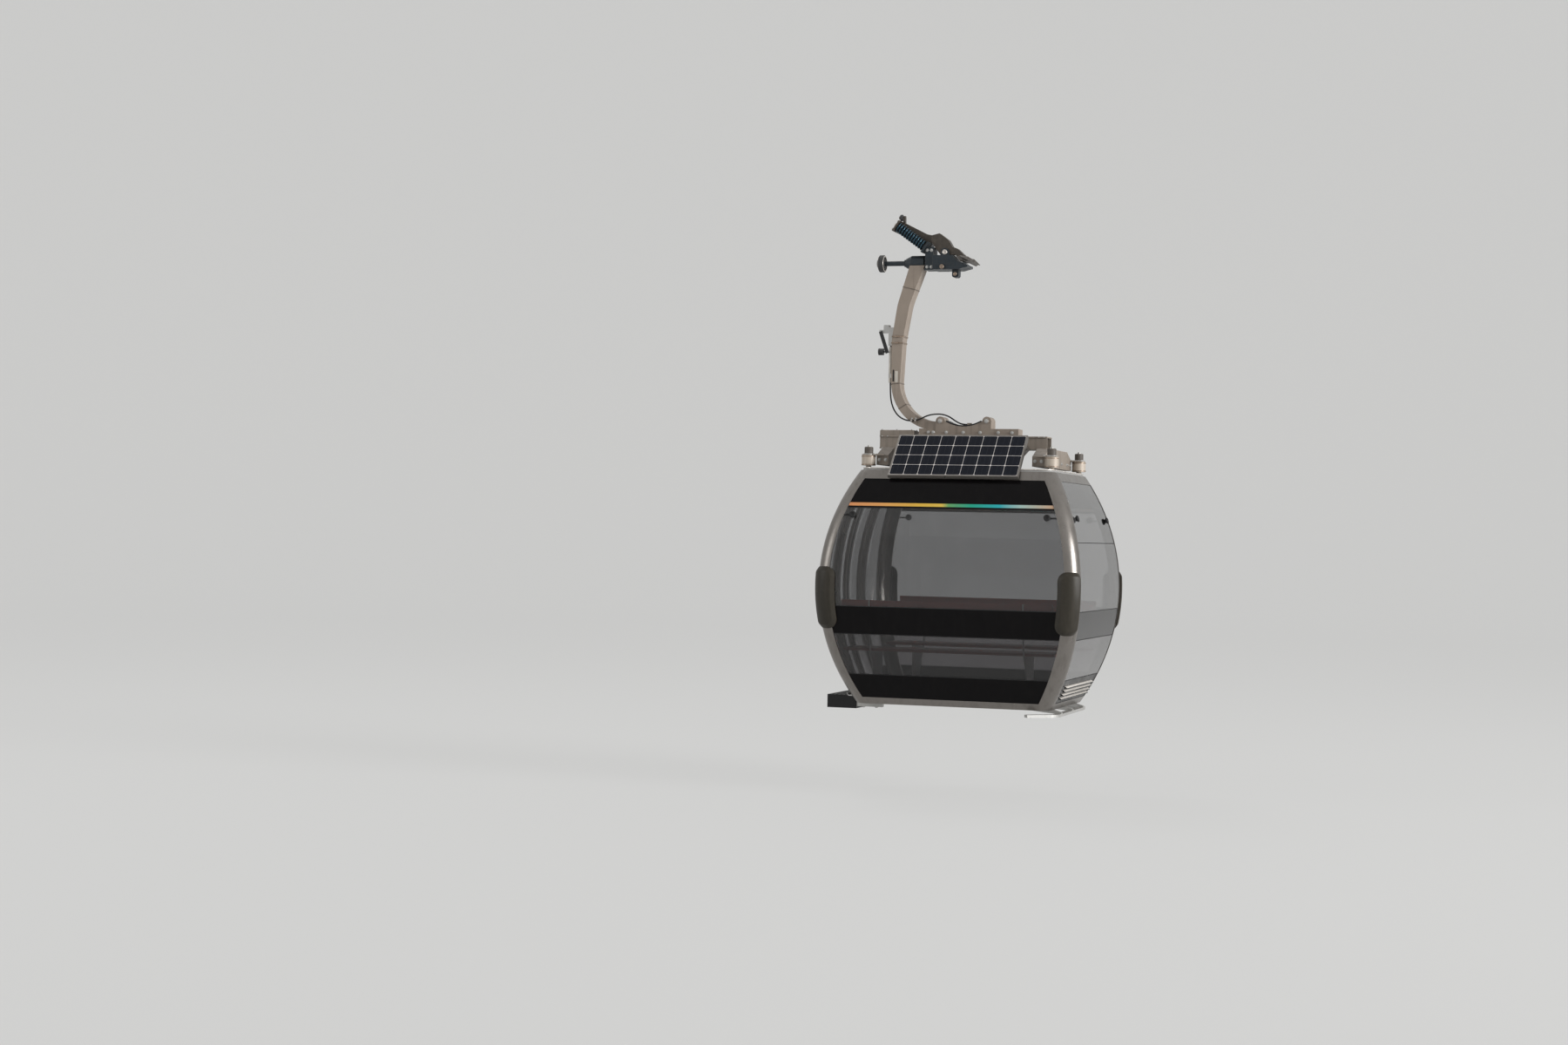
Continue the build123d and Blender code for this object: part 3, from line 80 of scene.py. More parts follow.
class Body(str, Enum):
    """The bodies of the packed model."""

    GRIP = "grip"
    RUNNING_ROLLER = "running_roller"
    CONTROL_ROLLER = "control_roller"
    CABIN = "cabin"
    DOOR_FRONT = "door_front"
    DOOR_REAR = "door_rear"


class Side(float, Enum):
    """Which way a mirrored piece goes."""

    LOW = -1.0
    HIGH = 1.0


@dataclass(frozen=True)
class Layout:
    """Places that several sub-assemblies share, in metres."""

    cabin_x: float = 0.1
    half_width: float = 1.195
    half_length: float = 1.05
    bulge_radius: float = 2.03
    widest_z: float = -2.99
    roof_top_z: float = -1.915
    stripe_rise: float = 0.737
    stripe_height: float = 0.029
    solar_tilt: float = 44.8
    solar_low_y: float = -0.862
    solar_low_z: float = -1.988
    solar_width: float = 1.195
    solar_depth: float = 0.541
    solar_rim: float = 0.014
    solar_cells_back: float = -0.0062

    def span(self, half: float, rise: float, depth: float = 0.0) -> float:
        """Half the body's size at a rise above its widest level.

        Args:
            half: Half width or half length at the widest level.
            rise: Height above the widest level.
            depth: How far in from the skin.

        Returns:
            The half size there.
        """
        radius = self.bulge_radius
        return half - depth - radius + math.sqrt(radius**2 - rise**2)


PLACES = Layout()


class Nodes:
    """Adds shader nodes to one tree and links them."""

    def __init__(self, tree: bpy.types.NodeTree) -> None:
        """Keeps the tree.

        Args:
            tree: A material's or a group's node tree.
        """
        self.tree = tree

    def add(self, kind: str, **settings: object) -> bpy.types.Node:
        """Adds one node.

        Args:
            kind: The node's type name.
            settings: Its properties.

        Returns:
            The new node.
        """
        node = self.tree.nodes.new(kind)
        for name, value in settings.items():
            setattr(node, name, value)
        return node

    def link(self, source: bpy.types.NodeSocket, target: bpy.types.NodeSocket) -> None:
        """Links an output to an input."""
        self.tree.links.new(source, target)

    def feed(self, socket: bpy.types.NodeSocket, value: object) -> None:
        """Links a socket to another, or sets it to a plain value.

        Args:
            socket: The input.
            value: A socket or a plain value.
        """
        if isinstance(value, bpy.types.NodeSocket):
            self.link(value, socket)
        else:
            socket.default_value = value

    def place(self) -> bpy.types.NodeSocket:
        """The shaded point in the piece's own space."""
        return self.add("ShaderNodeTexCoord").outputs["Object"]

    def axes(self, vector: bpy.types.NodeSocket) -> list[bpy.types.NodeSocket]:
        """Splits a vector.

        Args:
            vector: The vector's socket.

        Returns:
            Its X, Y and Z.
        """
        split = self.add("ShaderNodeSeparateXYZ")
        self.link(vector, split.inputs[0])
        return list(split.outputs)

    def seen(self) -> bpy.types.NodeSocket:
        """Picks the rays that show the surroundings, straight or by way of glass or metal.

        Returns:
            1 for those rays and 0 for the ones that light.
        """
        path = self.add("ShaderNodeLightPath")
        straight = self.math("MAXIMUM", path.outputs["Is Camera Ray"], path.outputs["Is Glossy Ray"])
        return self.math("MAXIMUM", straight, path.outputs["Is Transmission Ray"])

    def math(self, operation: str, *values: object, clamp: bool = False) -> bpy.types.NodeSocket:
        """One arithmetic step.

        Args:
            operation: The Math node's operation.
            values: Sockets or numbers, one for each input.
            clamp: Keeps the result from 0 to 1.

        Returns:
            The result's socket.
        """
        node = self.add("ShaderNodeMath", operation=operation, use_clamp=clamp)
        for socket, value in zip(node.inputs, values):
            self.feed(socket, value)
        return node.outputs[0]

    def remap(
        self, value: object, low: float, high: float, to_low: float, to_high: float
    ) -> bpy.types.NodeSocket:
        """Stretches a value from one range to another.

        Args:
            value: The socket to stretch.
            low: Where the input's range starts.
            high: Where the input's range ends.
            to_low: Where the output's range starts.
            to_high: Where the output's range ends.

        Returns:
            The stretched value's socket.
        """
        node = self.add("ShaderNodeMapRange")
        for name, number in (
            ("Value", value),
            ("From Min", low),
            ("From Max", high),
            ("To Min", to_low),
            ("To Max", to_high),
        ):
            self.feed(node.inputs[name], number)
        return node.outputs["Result"]

    def mix(self, factor: object, first: object, second: object) -> bpy.types.NodeSocket:
        """Mixes two colours.

        Args:
            factor: How much of the second.
            first: A socket or colour.
            second: A socket or colour.

        Returns:
            The mixed colour's socket.
        """
        node = self.add("ShaderNodeMix", data_type="RGBA")
        self.feed(node.inputs[0], factor)
        for socket, colour in ((node.inputs[6], first), (node.inputs[7], second)):
            self.feed(socket, colour if isinstance(colour, bpy.types.NodeSocket) else (*colour, 1.0))
        return node.outputs[2]

    def noise(
        self, scale: object, detail: float = 5.0, stretch: Color = (1.0, 1.0, 1.0)
    ) -> bpy.types.NodeSocket:
        """Noise in the piece's own space.

        Args:
            scale: Waves a metre, as a number or socket.
            detail: How many finer layers.
            stretch: Scale along each axis.

        Returns:
            The noise value's socket.
        """
        mapping = self.add("ShaderNodeMapping")
        mapping.inputs["Scale"].default_value = stretch
        self.link(self.place(), mapping.inputs["Vector"])
        noise = self.add("ShaderNodeTexNoise")
        noise.inputs["Detail"].default_value = detail
        self.link(mapping.outputs["Vector"], noise.inputs["Vector"])
        self.feed(noise.inputs["Scale"], scale)
        return noise.outputs["Fac"]


def new_material(name: str) -> tuple[bpy.types.Material, Nodes, bpy.types.Node]:
    """Makes a material.

    Args:
        name: Its name.

    Returns:
        The material, its nodes' helper and its shader.
    """
    material = bpy.data.materials.new(name)
    material.use_nodes = True
    return material, Nodes(material.node_tree), material.node_tree.nodes["Principled BSDF"]


class Effects:
    """The shader node groups that several finishes share."""

    def __init__(self) -> None:
        """Builds each group once."""
        self.wear = self._wear()
        self.dust = self._dust()
        self.streaks = self._streaks()

    @staticmethod
    def _group(name: str, inputs: dict[str, float]) -> tuple[bpy.types.NodeTree, Nodes, object, object]:
        """Starts a group that puts out one mask.

        Args:
            name: The group's name.
            inputs: Names of its inputs and their defaults.

        Returns:
            The tree, its helper, its input node and its output node.
        """
        tree = bpy.data.node_groups.new(name, "ShaderNodeTree")
        for label, default in inputs.items():
            socket = tree.interface.new_socket(label, in_out="INPUT", socket_type="NodeSocketFloat")
            socket.default_value = default
        tree.interface.new_socket("Mask", in_out="OUTPUT", socket_type="NodeSocketFloat")
        nodes = Nodes(tree)
        return tree, nodes, nodes.add("NodeGroupInput"), nodes.add("NodeGroupOutput")

    def _wear(self) -> bpy.types.NodeTree:
        """Rubbed edges, broken up by noise.

        Returns:
            The group, which puts out one mask.
        """
        tree, nodes, given, out = self._group("EdgeWear", {"Radius": 0.003, "Amount": 1.0, "Scale": 30.0})
        bevel = nodes.add("ShaderNodeBevel", samples=4)
        nodes.link(given.outputs["Radius"], bevel.inputs["Radius"])
        geometry = nodes.add("ShaderNodeNewGeometry")
        dot = nodes.add("ShaderNodeVectorMath", operation="DOT_PRODUCT")
        nodes.link(bevel.outputs["Normal"], dot.inputs[0])
        nodes.link(geometry.outputs["Normal"], dot.inputs[1])
        edge = nodes.remap(dot.outputs["Value"], 0.98, 0.75, 0.0, 1.0)
        rough = nodes.remap(nodes.noise(given.outputs["Scale"]), 0.42, 0.62, 0.0, 1.0)
        worn = nodes.math("MULTIPLY", edge, rough)
        nodes.link(nodes.math("MULTIPLY", worn, given.outputs["Amount"], clamp=True), out.inputs[0])
        return tree

    def _dust(self) -> bpy.types.NodeTree:
        """Dust that lies on faces that look up.

        Returns:
            The group, which puts out one mask.
        """
        tree, nodes, given, out = self._group("TopDust", {"Amount": 0.5, "Scale": 9.0})
        normal = nodes.add("ShaderNodeNewGeometry").outputs["Normal"]
        upward = nodes.remap(nodes.axes(normal)[2], 0.2, 1.0, 0.0, 1.0)
        patchy = nodes.remap(nodes.noise(given.outputs["Scale"]), 0.3, 0.7, 0.25, 1.0)
        lying = nodes.math("MULTIPLY", upward, patchy)
        nodes.link(nodes.math("MULTIPLY", lying, given.outputs["Amount"], clamp=True), out.inputs[0])
        return tree

    def _streaks(self) -> bpy.types.NodeTree:
        """Upright marks that rain leaves.

        Returns:
            The group, which puts out one mask.
        """
        tree, nodes, given, out = self._group("RainStreaks", {"Amount": 0.5, "Scale": 22.0})
        long_noise = nodes.noise(given.outputs["Scale"], 4.0, (1.0, 1.0, 0.06))
        marks = nodes.remap(long_noise, 0.5, 0.72, 0.0, 1.0)
        nodes.link(nodes.math("MULTIPLY", marks, given.outputs["Amount"], clamp=True), out.inputs[0])
        return tree


@dataclass(frozen=True)
class Finish:
    """One surface finish: its colours, gloss, grain, wear and dirt."""

    name: str
    colour: Color
    second: Color
    roughness: tuple[float, float] = (0.4, 0.55)
    metallic: float = 0.0
    coat: float = 0.0
    specular: float = 0.5
    grain: float = 60.0
    stretch: Color = (1.0, 1.0, 1.0)
    bump: float = 0.1
    bump_grain: float = 400.0
    wear_colour: Color = (0.6, 0.6, 0.58)
    wear: float = 0.0
    dust: float = 0.0
    streaks: float = 0.0
    dirt_colour: Color = (0.30, 0.27, 0.23)

    def tint(self, nodes: Nodes) -> bpy.types.NodeSocket:
        """The bare colour before dirt and wear, which other finishes replace."""
        return nodes.mix(nodes.noise(self.grain, 6.0, self.stretch), self.colour, self.second)

    def height(self, nodes: Nodes) -> bpy.types.NodeSocket:
        """The relief under the gloss, which other finishes replace."""
        return nodes.noise(self.bump_grain, 3.0, self.stretch)

    def build(self, effects: Effects) -> bpy.types.Material:
        """Makes the material.

        Args:
            effects: The shared node groups.

        Returns:
            The new material.
        """
        material, nodes, shader = new_material(self.name)
        colour = self.tint(nodes)
        for amount, group, over in (
            (self.streaks, effects.streaks, self.dirt_colour),
            (self.dust, effects.dust, self.dirt_colour),
            (self.wear, effects.wear, self.wear_colour),
        ):
            if amount:
                placed = nodes.add("ShaderNodeGroup", node_tree=group)
                placed.inputs["Amount"].default_value = amount
                colour = nodes.mix(placed.outputs["Mask"], colour, over)
        nodes.link(colour, shader.inputs["Base Color"])
        gloss = nodes.remap(nodes.noise(self.grain * 0.4), 0.3, 0.7, *self.roughness)
        nodes.link(gloss, shader.inputs["Roughness"])
        shader.inputs["Metallic"].default_value = self.metallic
        shader.inputs["Coat Weight"].default_value = self.coat
        shader.inputs["Specular IOR Level"].default_value = self.specular
        bump = nodes.add("ShaderNodeBump")
        bump.inputs["Strength"].default_value = self.bump
        bump.inputs["Distance"].default_value = 0.001
        nodes.link(self.height(nodes), bump.inputs["Height"])
        nodes.link(bump.outputs["Normal"], shader.inputs["Normal"])
        self.adjust(shader)
        return material

    def adjust(self, shader: bpy.types.Node) -> None:
        """Sets what a special finish needs on the shader; a plain one needs nothing."""


@dataclass(frozen=True)
class TintedGlass(Finish):
    """Clear tinted acrylic."""

    def adjust(self, shader: bpy.types.Node) -> None:
        """Lets light through."""
        shader.inputs["Transmission Weight"].default_value = 1.0
        shader.inputs["IOR"].default_value = 1.49


@dataclass(frozen=True)
class StripedPanel(Finish):
    """Gloss black laminate with the plain rainbow stripe along its lower edge."""

    def tint(self, nodes: Nodes) -> bpy.types.NodeSocket:
        """Black, with the stripe's colours from the door side to the far side.

        Args:
            nodes: The material's nodes.

        Returns:
            The colour's socket.
        """
        x, _, z = nodes.axes(nodes.place())
        reach = PLACES.span(PLACES.half_width, PLACES.stripe_rise, 0.122)
        along = nodes.remap(x, PLACES.cabin_x - reach, PLACES.cabin_x + reach, 0.0, 1.0)
        ramp = nodes.add("ShaderNodeValToRGB")
        stops: list[tuple[float, Color]] = [
            (0.00, (0.76, 0.32, 0.14)),
            (0.16, (0.82, 0.39, 0.13)),
            (0.34, (0.82, 0.50, 0.08)),
            (0.46, (0.80, 0.56, 0.10)),
            (0.49, (0.16, 0.42, 0.16)),
            (0.60, (0.03, 0.42, 0.28)),
            (0.74, (0.04, 0.45, 0.50)),
            (0.84, (0.42, 0.60, 0.56)),
            (1.00, (0.62, 0.40, 0.26)),
        ]
        elements = ramp.color_ramp.elements
        elements[0].position, elements[1].position = stops[0][0], stops[-1][0]
        for position, _ in stops[1:-1]:
            elements.new(position)
        for element, (_, colour) in zip(elements, stops):
            element.color = (*colour, 1.0)
        nodes.link(along, ramp.inputs["Fac"])
        middle = PLACES.widest_z + PLACES.stripe_rise
        away = nodes.math("ABSOLUTE", nodes.math("SUBTRACT", z, middle))
        stripe = nodes.math("LESS_THAN", away, PLACES.stripe_height / 2)
        return nodes.mix(stripe, super().tint(nodes), ramp.outputs["Color"])


@dataclass(frozen=True)
class ControlCasting(Finish):
    """Pale cast housing with a black lever and knob."""

    box_face_y: float = -0.0343
    base_face_x: float = -0.7455
    base_low_z: float = -0.765

    def tint(self, nodes: Nodes) -> bpy.types.NodeSocket:
        """Pale alloy, with black below the housing and in front of its face.

        Args:
            nodes: The material's nodes.

        Returns:
            The colour's socket.
        """
        x, y, z = nodes.axes(nodes.place())
        near = nodes.math("LESS_THAN", y, self.box_face_y)
        outer = nodes.math("LESS_THAN", x, self.base_face_x)
        below = nodes.math("LESS_THAN", z, self.base_low_z)
        lever = nodes.math("MAXIMUM", nodes.math("MULTIPLY", near, outer), below)
        black = nodes.mix(nodes.noise(self.grain), (0.014, 0.014, 0.015), (0.026, 0.025, 0.025))
        return nodes.mix(lever, super().tint(nodes), black)


@dataclass(frozen=True)
class SolarCells(Finish):
    """Dark cells with clipped corners in rows, with pale lines between them and fine wires across."""

    columns: int = 9
    rows: int = 4
    line: float = 0.0019
    clip: float = 0.012
    wires: int = 3
    wire: float = 0.0005

    def tint(self, nodes: Nodes) -> bpy.types.NodeSocket:
        """The cells' pattern in the tilted panel's own plane.

        Args:
            nodes: The material's nodes.

        Returns:
            The colour's socket.
        """
        shift = nodes.add("ShaderNodeVectorMath", operation="SUBTRACT")
        nodes.link(nodes.place(), shift.inputs[0])
        inner_width = PLACES.solar_width - 2 * PLACES.solar_rim
        inner_depth = PLACES.solar_depth - 2 * PLACES.solar_rim
        shift.inputs[1].default_value = (
            PLACES.cabin_x - inner_width / 2,
            PLACES.solar_low_y,
            PLACES.solar_low_z,
        )
        turn = nodes.add("ShaderNodeMapping")
        turn.inputs["Rotation"].default_value = (-math.radians(PLACES.solar_tilt), 0, 0)
        nodes.link(shift.outputs[0], turn.inputs["Vector"])
        x, y, _ = nodes.axes(turn.outputs["Vector"])
        pitch = inner_width / self.columns
        across = nodes.math("DIVIDE", x, pitch)
        up_slope = nodes.math("SUBTRACT", y, PLACES.solar_rim)
        upward = nodes.math("DIVIDE", up_slope, inner_depth / self.rows)
        from_edge = []
        for along in (across, upward):
            middle = nodes.math("ABSOLUTE", nodes.math("SUBTRACT", nodes.math("FRACT", along), 0.5))
            from_edge.append(nodes.math("MULTIPLY", nodes.math("SUBTRACT", 0.5, middle), pitch))
        lines = nodes.math("LESS_THAN", nodes.math("MINIMUM", *from_edge), self.line)
        corners = nodes.math("LESS_THAN", nodes.math("ADD", *from_edge), self.clip)
        wire_phase = nodes.math("FRACT", nodes.math("MULTIPLY", across, self.wires))
        wire_middle = nodes.math("ABSOLUTE", nodes.math("SUBTRACT", wire_phase, 0.5))
        wires = nodes.math("LESS_THAN", wire_middle, self.wire * self.wires / pitch)
        cell = nodes.mix(wires, super().tint(nodes), (0.045, 0.048, 0.055))
        pale = nodes.math("MAXIMUM", lines, corners)
        return nodes.mix(pale, cell, (0.74, 0.70, 0.68))


@dataclass(frozen=True)
class StuddedRubber(Finish):
    """Rubber floor mat with round studs."""

    pitch: float = 0.028

    def height(self, nodes: Nodes) -> bpy.types.NodeSocket:
        """Raised round studs.

        Args:
            nodes: The material's nodes.

        Returns:
            The height's socket.
        """
        cells = nodes.add("ShaderNodeTexVoronoi")
        cells.inputs["Randomness"].default_value = 0.0
        cells.inputs["Scale"].default_value = 1 / self.pitch
        nodes.link(nodes.place(), cells.inputs["Vector"])
        return nodes.remap(cells.outputs["Distance"], 0.34, 0.28, 0.0, 1.0)


FINISHES: dict[str, Finish] = {
    "grip_steel": Finish(
        "OiledSteel", (0.020, 0.034, 0.048), (0.044, 0.046, 0.046), (0.34, 0.55), metallic=0.55,
        grain=45, bump=0.35, bump_grain=260, wear=0.8, wear_colour=(0.40, 0.34, 0.29), dust=0.2,
        dirt_colour=(0.11, 0.095, 0.08),
    ),
    "lever_steel": Finish(
        "WornLeverSteel", (0.046, 0.041, 0.036), (0.105, 0.088, 0.072), (0.30, 0.52), metallic=0.55,
        grain=30, bump=0.35, bump_grain=240, wear=1.0, wear_colour=(0.58, 0.48, 0.42), dust=0.25,
        dirt_colour=(0.14, 0.115, 0.09),
    ),
    "spring_steel": Finish(
        "BluedSpring", (0.016, 0.042, 0.062), (0.036, 0.075, 0.100), (0.18, 0.32), metallic=0.75,
        grain=70, bump=0.2, wear=0.6, wear_colour=(0.40, 0.44, 0.48),
    ),
    "roller_tread": Finish(
        "RollerRubber", (0.030, 0.032, 0.036), (0.052, 0.050, 0.048), (0.55, 0.75),
        grain=90, bump=0.4, bump_grain=500, dust=0.3, dirt_colour=(0.12, 0.11, 0.10),
    ),
    "hanger_paint": Finish(
        "HangerPaint", (0.345, 0.285, 0.235), (0.255, 0.212, 0.176), (0.42, 0.60), metallic=0.1,
        grain=7, bump=0.15, bump_grain=180, wear=0.6, wear_colour=(0.60, 0.54, 0.48),
        dust=0.3, streaks=0.55, dirt_colour=(0.110, 0.086, 0.068),
    ),
    "weld_line": Finish(
        "WeldLine", (0.120, 0.098, 0.080), (0.180, 0.150, 0.125), (0.45, 0.65), metallic=0.2,
        grain=60, bump=0.6, bump_grain=320, dust=0.3, dirt_colour=(0.09, 0.075, 0.06),
    ),
    "frame_paint": Finish(
        "FramePaint", (0.310, 0.262, 0.218), (0.215, 0.184, 0.156), (0.45, 0.62), metallic=0.1,
        grain=9, bump=0.15, bump_grain=180, wear=0.6, wear_colour=(0.56, 0.50, 0.43),
        dust=0.35, streaks=0.5, dirt_colour=(0.105, 0.086, 0.070),
    ),
    "alloy": Finish(
        "CastAlloy", (0.46, 0.46, 0.46), (0.56, 0.55, 0.54), (0.36, 0.52), metallic=0.7,
        grain=40, bump=0.3, bump_grain=320, wear=0.5, wear_colour=(0.75, 0.74, 0.72), dust=0.3,
    ),
    "control_casting": ControlCasting(
        "ControlCasting", (0.50, 0.50, 0.49), (0.62, 0.61, 0.59), (0.36, 0.55), metallic=0.1,
        grain=40, bump=0.3, bump_grain=320, wear=0.4, wear_colour=(0.66, 0.64, 0.60), dust=0.15,
    ),
    "black_rubber": Finish(
        "BlackRubber", (0.010, 0.010, 0.011), (0.020, 0.019, 0.019), (0.52, 0.70), specular=0.35,
        grain=60, bump=0.3, bump_grain=420, dust=0.15, dirt_colour=(0.08, 0.075, 0.07),
    ),
    "cap_rubber": Finish(
        "PostCapRubber", (0.058, 0.048, 0.040), (0.095, 0.080, 0.066), (0.50, 0.68),
        grain=50, bump=0.35, bump_grain=420, wear=0.5, wear_colour=(0.22, 0.19, 0.16),
        dust=0.4, dirt_colour=(0.24, 0.20, 0.165),
    ),
    "post_metal": Finish(
        "PostPaint", (0.520, 0.450, 0.375), (0.420, 0.365, 0.305), (0.40, 0.56), metallic=0.1,
        grain=12, bump=0.12, wear=0.4, dust=0.35, streaks=0.4, dirt_colour=(0.16, 0.13, 0.10),
    ),
    "satin_aluminium": Finish(
        "SatinAluminium", (0.182, 0.168, 0.155), (0.248, 0.230, 0.213), (0.27, 0.36), metallic=0.8,
        grain=30, stretch=(6.0, 6.0, 0.25), bump=0.05, bump_grain=600,
        wear=0.2, wear_colour=(0.50, 0.46, 0.42), streaks=0.3, dirt_colour=(0.10, 0.088, 0.077),
    ),
    # Painted highlight: the roof edge trim's pale finish stands in for the light along the roof's edge.
    "painted_roof_edge_highlight": Finish(
        "PaintedRoofEdgeHighlight", (0.66, 0.62, 0.58), (0.76, 0.72, 0.68), (0.22, 0.34), metallic=0.6,
        grain=40, bump=0.08, bump_grain=500, streaks=0.2,
    ),
    # Painted light: pale strips on the black louvre slats stand in for the light on their upward slopes.
    "painted_slat_light": Finish(
        "PaintedSlatLight", (0.70, 0.66, 0.61), (0.78, 0.74, 0.69), (0.34, 0.46), metallic=0.1,
        grain=12, bump=0.03, bump_grain=120, dust=0.15, dirt_colour=(0.42, 0.38, 0.33),
    ),
    "black_panel": Finish(
        "GlossBlackPanel", (0.0035, 0.0030, 0.0034), (0.0058, 0.0052, 0.0056), (0.07, 0.14),
        specular=0.10, grain=10, bump=0.015, bump_grain=40, streaks=0.05, dust=0.08,
        dirt_colour=(0.035, 0.031, 0.028),
    ),
    "louvre_black": Finish(
        "LouvreBlack", (0.0055, 0.0050, 0.0053), (0.009, 0.0085, 0.0085), (0.22, 0.34), specular=0.15,
        grain=16, bump=0.03, bump_grain=60, dust=0.10, dirt_colour=(0.04, 0.036, 0.032),
    ),
    "tinted_glass": TintedGlass(
        "TintedGlass", (0.450, 0.452, 0.458), (0.420, 0.422, 0.428), (0.012, 0.030), specular=0.18,
        grain=6, bump=0.015, bump_grain=3, streaks=0.08, dirt_colour=(0.36, 0.34, 0.32),
    ),
    "dark_glass": TintedGlass(
        "DarkTintedGlass", (0.30, 0.292, 0.300), (0.26, 0.255, 0.262), (0.02, 0.05), specular=0.32,
        grain=6, bump=0.015, bump_grain=3, streaks=0.1, dirt_colour=(0.20, 0.18, 0.17),
    ),
    "bumper_plastic": Finish(
        "BumperPlastic", (0.026, 0.0225, 0.0165), (0.038, 0.033, 0.025), (0.32, 0.46), specular=0.25,
        grain=26, bump=0.40, bump_grain=900, wear=0.4, wear_colour=(0.10, 0.088, 0.068),
        streaks=0.25, dirt_colour=(0.065, 0.056, 0.044),
    ),
    "roof_shell": Finish(
        "RoofPaint", (0.40, 0.40, 0.395), (0.34, 0.34, 0.335), (0.38, 0.55),
        grain=5, bump=0.08, dust=0.6, wear=0.3, dirt_colour=(0.26, 0.235, 0.20),
    ),
    "lining": Finish(
        "CeilingLining", (0.26, 0.26, 0.26), (0.22, 0.22, 0.22), (0.55, 0.70),
        grain=50, bump=0.3, bump_grain=700,
    ),
    "floor_sheet": Finish(
        "FloorSheet", (0.33, 0.33, 0.325), (0.26, 0.255, 0.25), (0.38, 0.58), metallic=0.7,
        grain=14, bump=0.15, wear=0.5, streaks=0.2, dirt_colour=(0.16, 0.145, 0.125),
    ),
    "floor_rubber": StuddedRubber(
        "StuddedMat", (0.035, 0.035, 0.036), (0.055, 0.053, 0.051), (0.58, 0.76),
        grain=12, bump=0.9, dust=0.3, dirt_colour=(0.11, 0.10, 0.09),
    ),
    "bench_wood": Finish(
        "StainedBench", (0.300, 0.045, 0.032), (0.150, 0.024, 0.018), (0.28, 0.44), coat=0.2,
        grain=34, stretch=(0.08, 1.0, 1.0), bump=0.25, bump_grain=150,
        wear=0.5, wear_colour=(0.36, 0.15, 0.10),
    ),
    "bracket_steel": Finish(
        "GalvanisedSteel", (0.42, 0.42, 0.41), (0.52, 0.51, 0.49), (0.35, 0.58), metallic=0.6,
        grain=55, bump=0.2, bump_grain=200, wear=0.5, dust=0.3, streaks=0.2,
    ),
    "solar_cell": SolarCells(
        "SolarCells", (0.0030, 0.0048, 0.0110), (0.0052, 0.0072, 0.0145), (0.10, 0.18), specular=0.12,
        grain=8, bump=0.01, bump_grain=40, dust=0.03, dirt_colour=(0.10, 0.095, 0.09),
    ),
    "back_sheet": Finish(
        "SolarBackSheet", (0.62, 0.62, 0.61), (0.54, 0.54, 0.53), (0.45, 0.60),
        grain=10, bump=0.03, bump_grain=200, streaks=0.3, dirt_colour=(0.36, 0.33, 0.29),
    ),
    "worn_bright": Finish(
        "WornBrightSteel", (0.50, 0.46, 0.42), (0.64, 0.60, 0.56), (0.25, 0.45), metallic=0.6,
        grain=60, bump=0.3, bump_grain=300, wear=0.4, wear_colour=(0.80, 0.78, 0.75), dust=0.2,
    ),
    "bronze": Finish(
        "BrownedSteel", (0.200, 0.150, 0.115), (0.320, 0.250, 0.195), (0.32, 0.52), metallic=0.5,
        grain=60, bump=0.3, bump_grain=300, wear=0.7, wear_colour=(0.62, 0.52, 0.43), dust=0.2,
        dirt_colour=(0.12, 0.10, 0.08),
    ),
    "pale_plate": Finish(
        "PalePlate", (0.60, 0.56, 0.50), (0.50, 0.47, 0.42), (0.35, 0.50), metallic=0.2,
        grain=40, bump=0.1, wear=0.5, streaks=0.3, dirt_colour=(0.25, 0.22, 0.18),
    ),
    "step_black": Finish(
        "PowderCoat", (0.008, 0.008, 0.009), (0.014, 0.014, 0.014), (0.38, 0.55), specular=0.3,
        grain=30, bump=0.35, bump_grain=800, wear=0.5, wear_colour=(0.14, 0.13, 0.12), dust=0.2,
        dirt_colour=(0.07, 0.065, 0.06),
    ),
}

# The end headers' own finish: the black panel's values with the stripe.
FINISHES["striped_panel"] = StripedPanel(**{**vars(FINISHES["black_panel"]), "name": "StripedBlackPanel"})

NODE_FINISHES: dict[str, str] = {
    "end_headers": "striped_panel",
    "jaw_lever": "lever_steel",
    "door_control": "control_casting",
    "post_caps": "cap_rubber",
    "louvre_panel": "louvre_black",
    "end_lower_windows": "dark_glass",
    "right_lower_window": "dark_glass",
}


class Workshop:
    """Makes the materials, dresses the CAD nodes and takes in each finished piece."""

    def __init__(self, frame: dict) -> None:
        """Builds every finish once.
        """
        effects = Effects()
        self.nodes: dict[str, bpy.types.Object] = frame["nodes"]
        self.slots = {row["node"]: row["material_slot"] for row in frame["record"]["subparts"]}
        self.materials = {name: finish.build(effects) for name, finish in FINISHES.items()}

    def dress_nodes(self) -> None:
        """Gives each CAD node its own finish, or else its slot's."""
        for node, obj in self.nodes.items():
            obj.data.materials.clear()
            obj.data.materials.append(self.materials[NODE_FINISHES.get(node, self.slots[node])])
        LOG.info("dressed %d CAD nodes", len(self.nodes))

    def take(
        self, obj: bpy.types.Object, name: str, body: Body, slot: str, finish: str | None = None
    ) -> None:
        """Names a finished piece, dresses it and rides it on its body.

        Args:
            obj: The piece, with its place in its mesh.
            name: Its name.
            body: The body that carries it.
            slot: The record's material slot.
            finish: The finish, where it isn't the slot's own.
        """
        obj.name = name
        obj.data.materials.clear()
        obj.data.materials.append(self.materials[finish or slot])
        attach(obj, body.value)
        LOG.info("built %s on %s", name, body.value)


def clear_selection() -> None:
    """Deselects every object, so an operator acts on the next piece alone."""
    bpy.ops.object.select_all(action="DESELECT")


def only(obj: bpy.types.Object) -> None:
    """Selects one object and makes it active.

    Args:
        obj: The object.
    """
    clear_selection()
    obj.select_set(True)
    bpy.context.view_layer.objects.active = obj


def leave_edit() -> None:
    """Goes back to object mode."""
    bpy.ops.object.mode_set(mode="OBJECT")


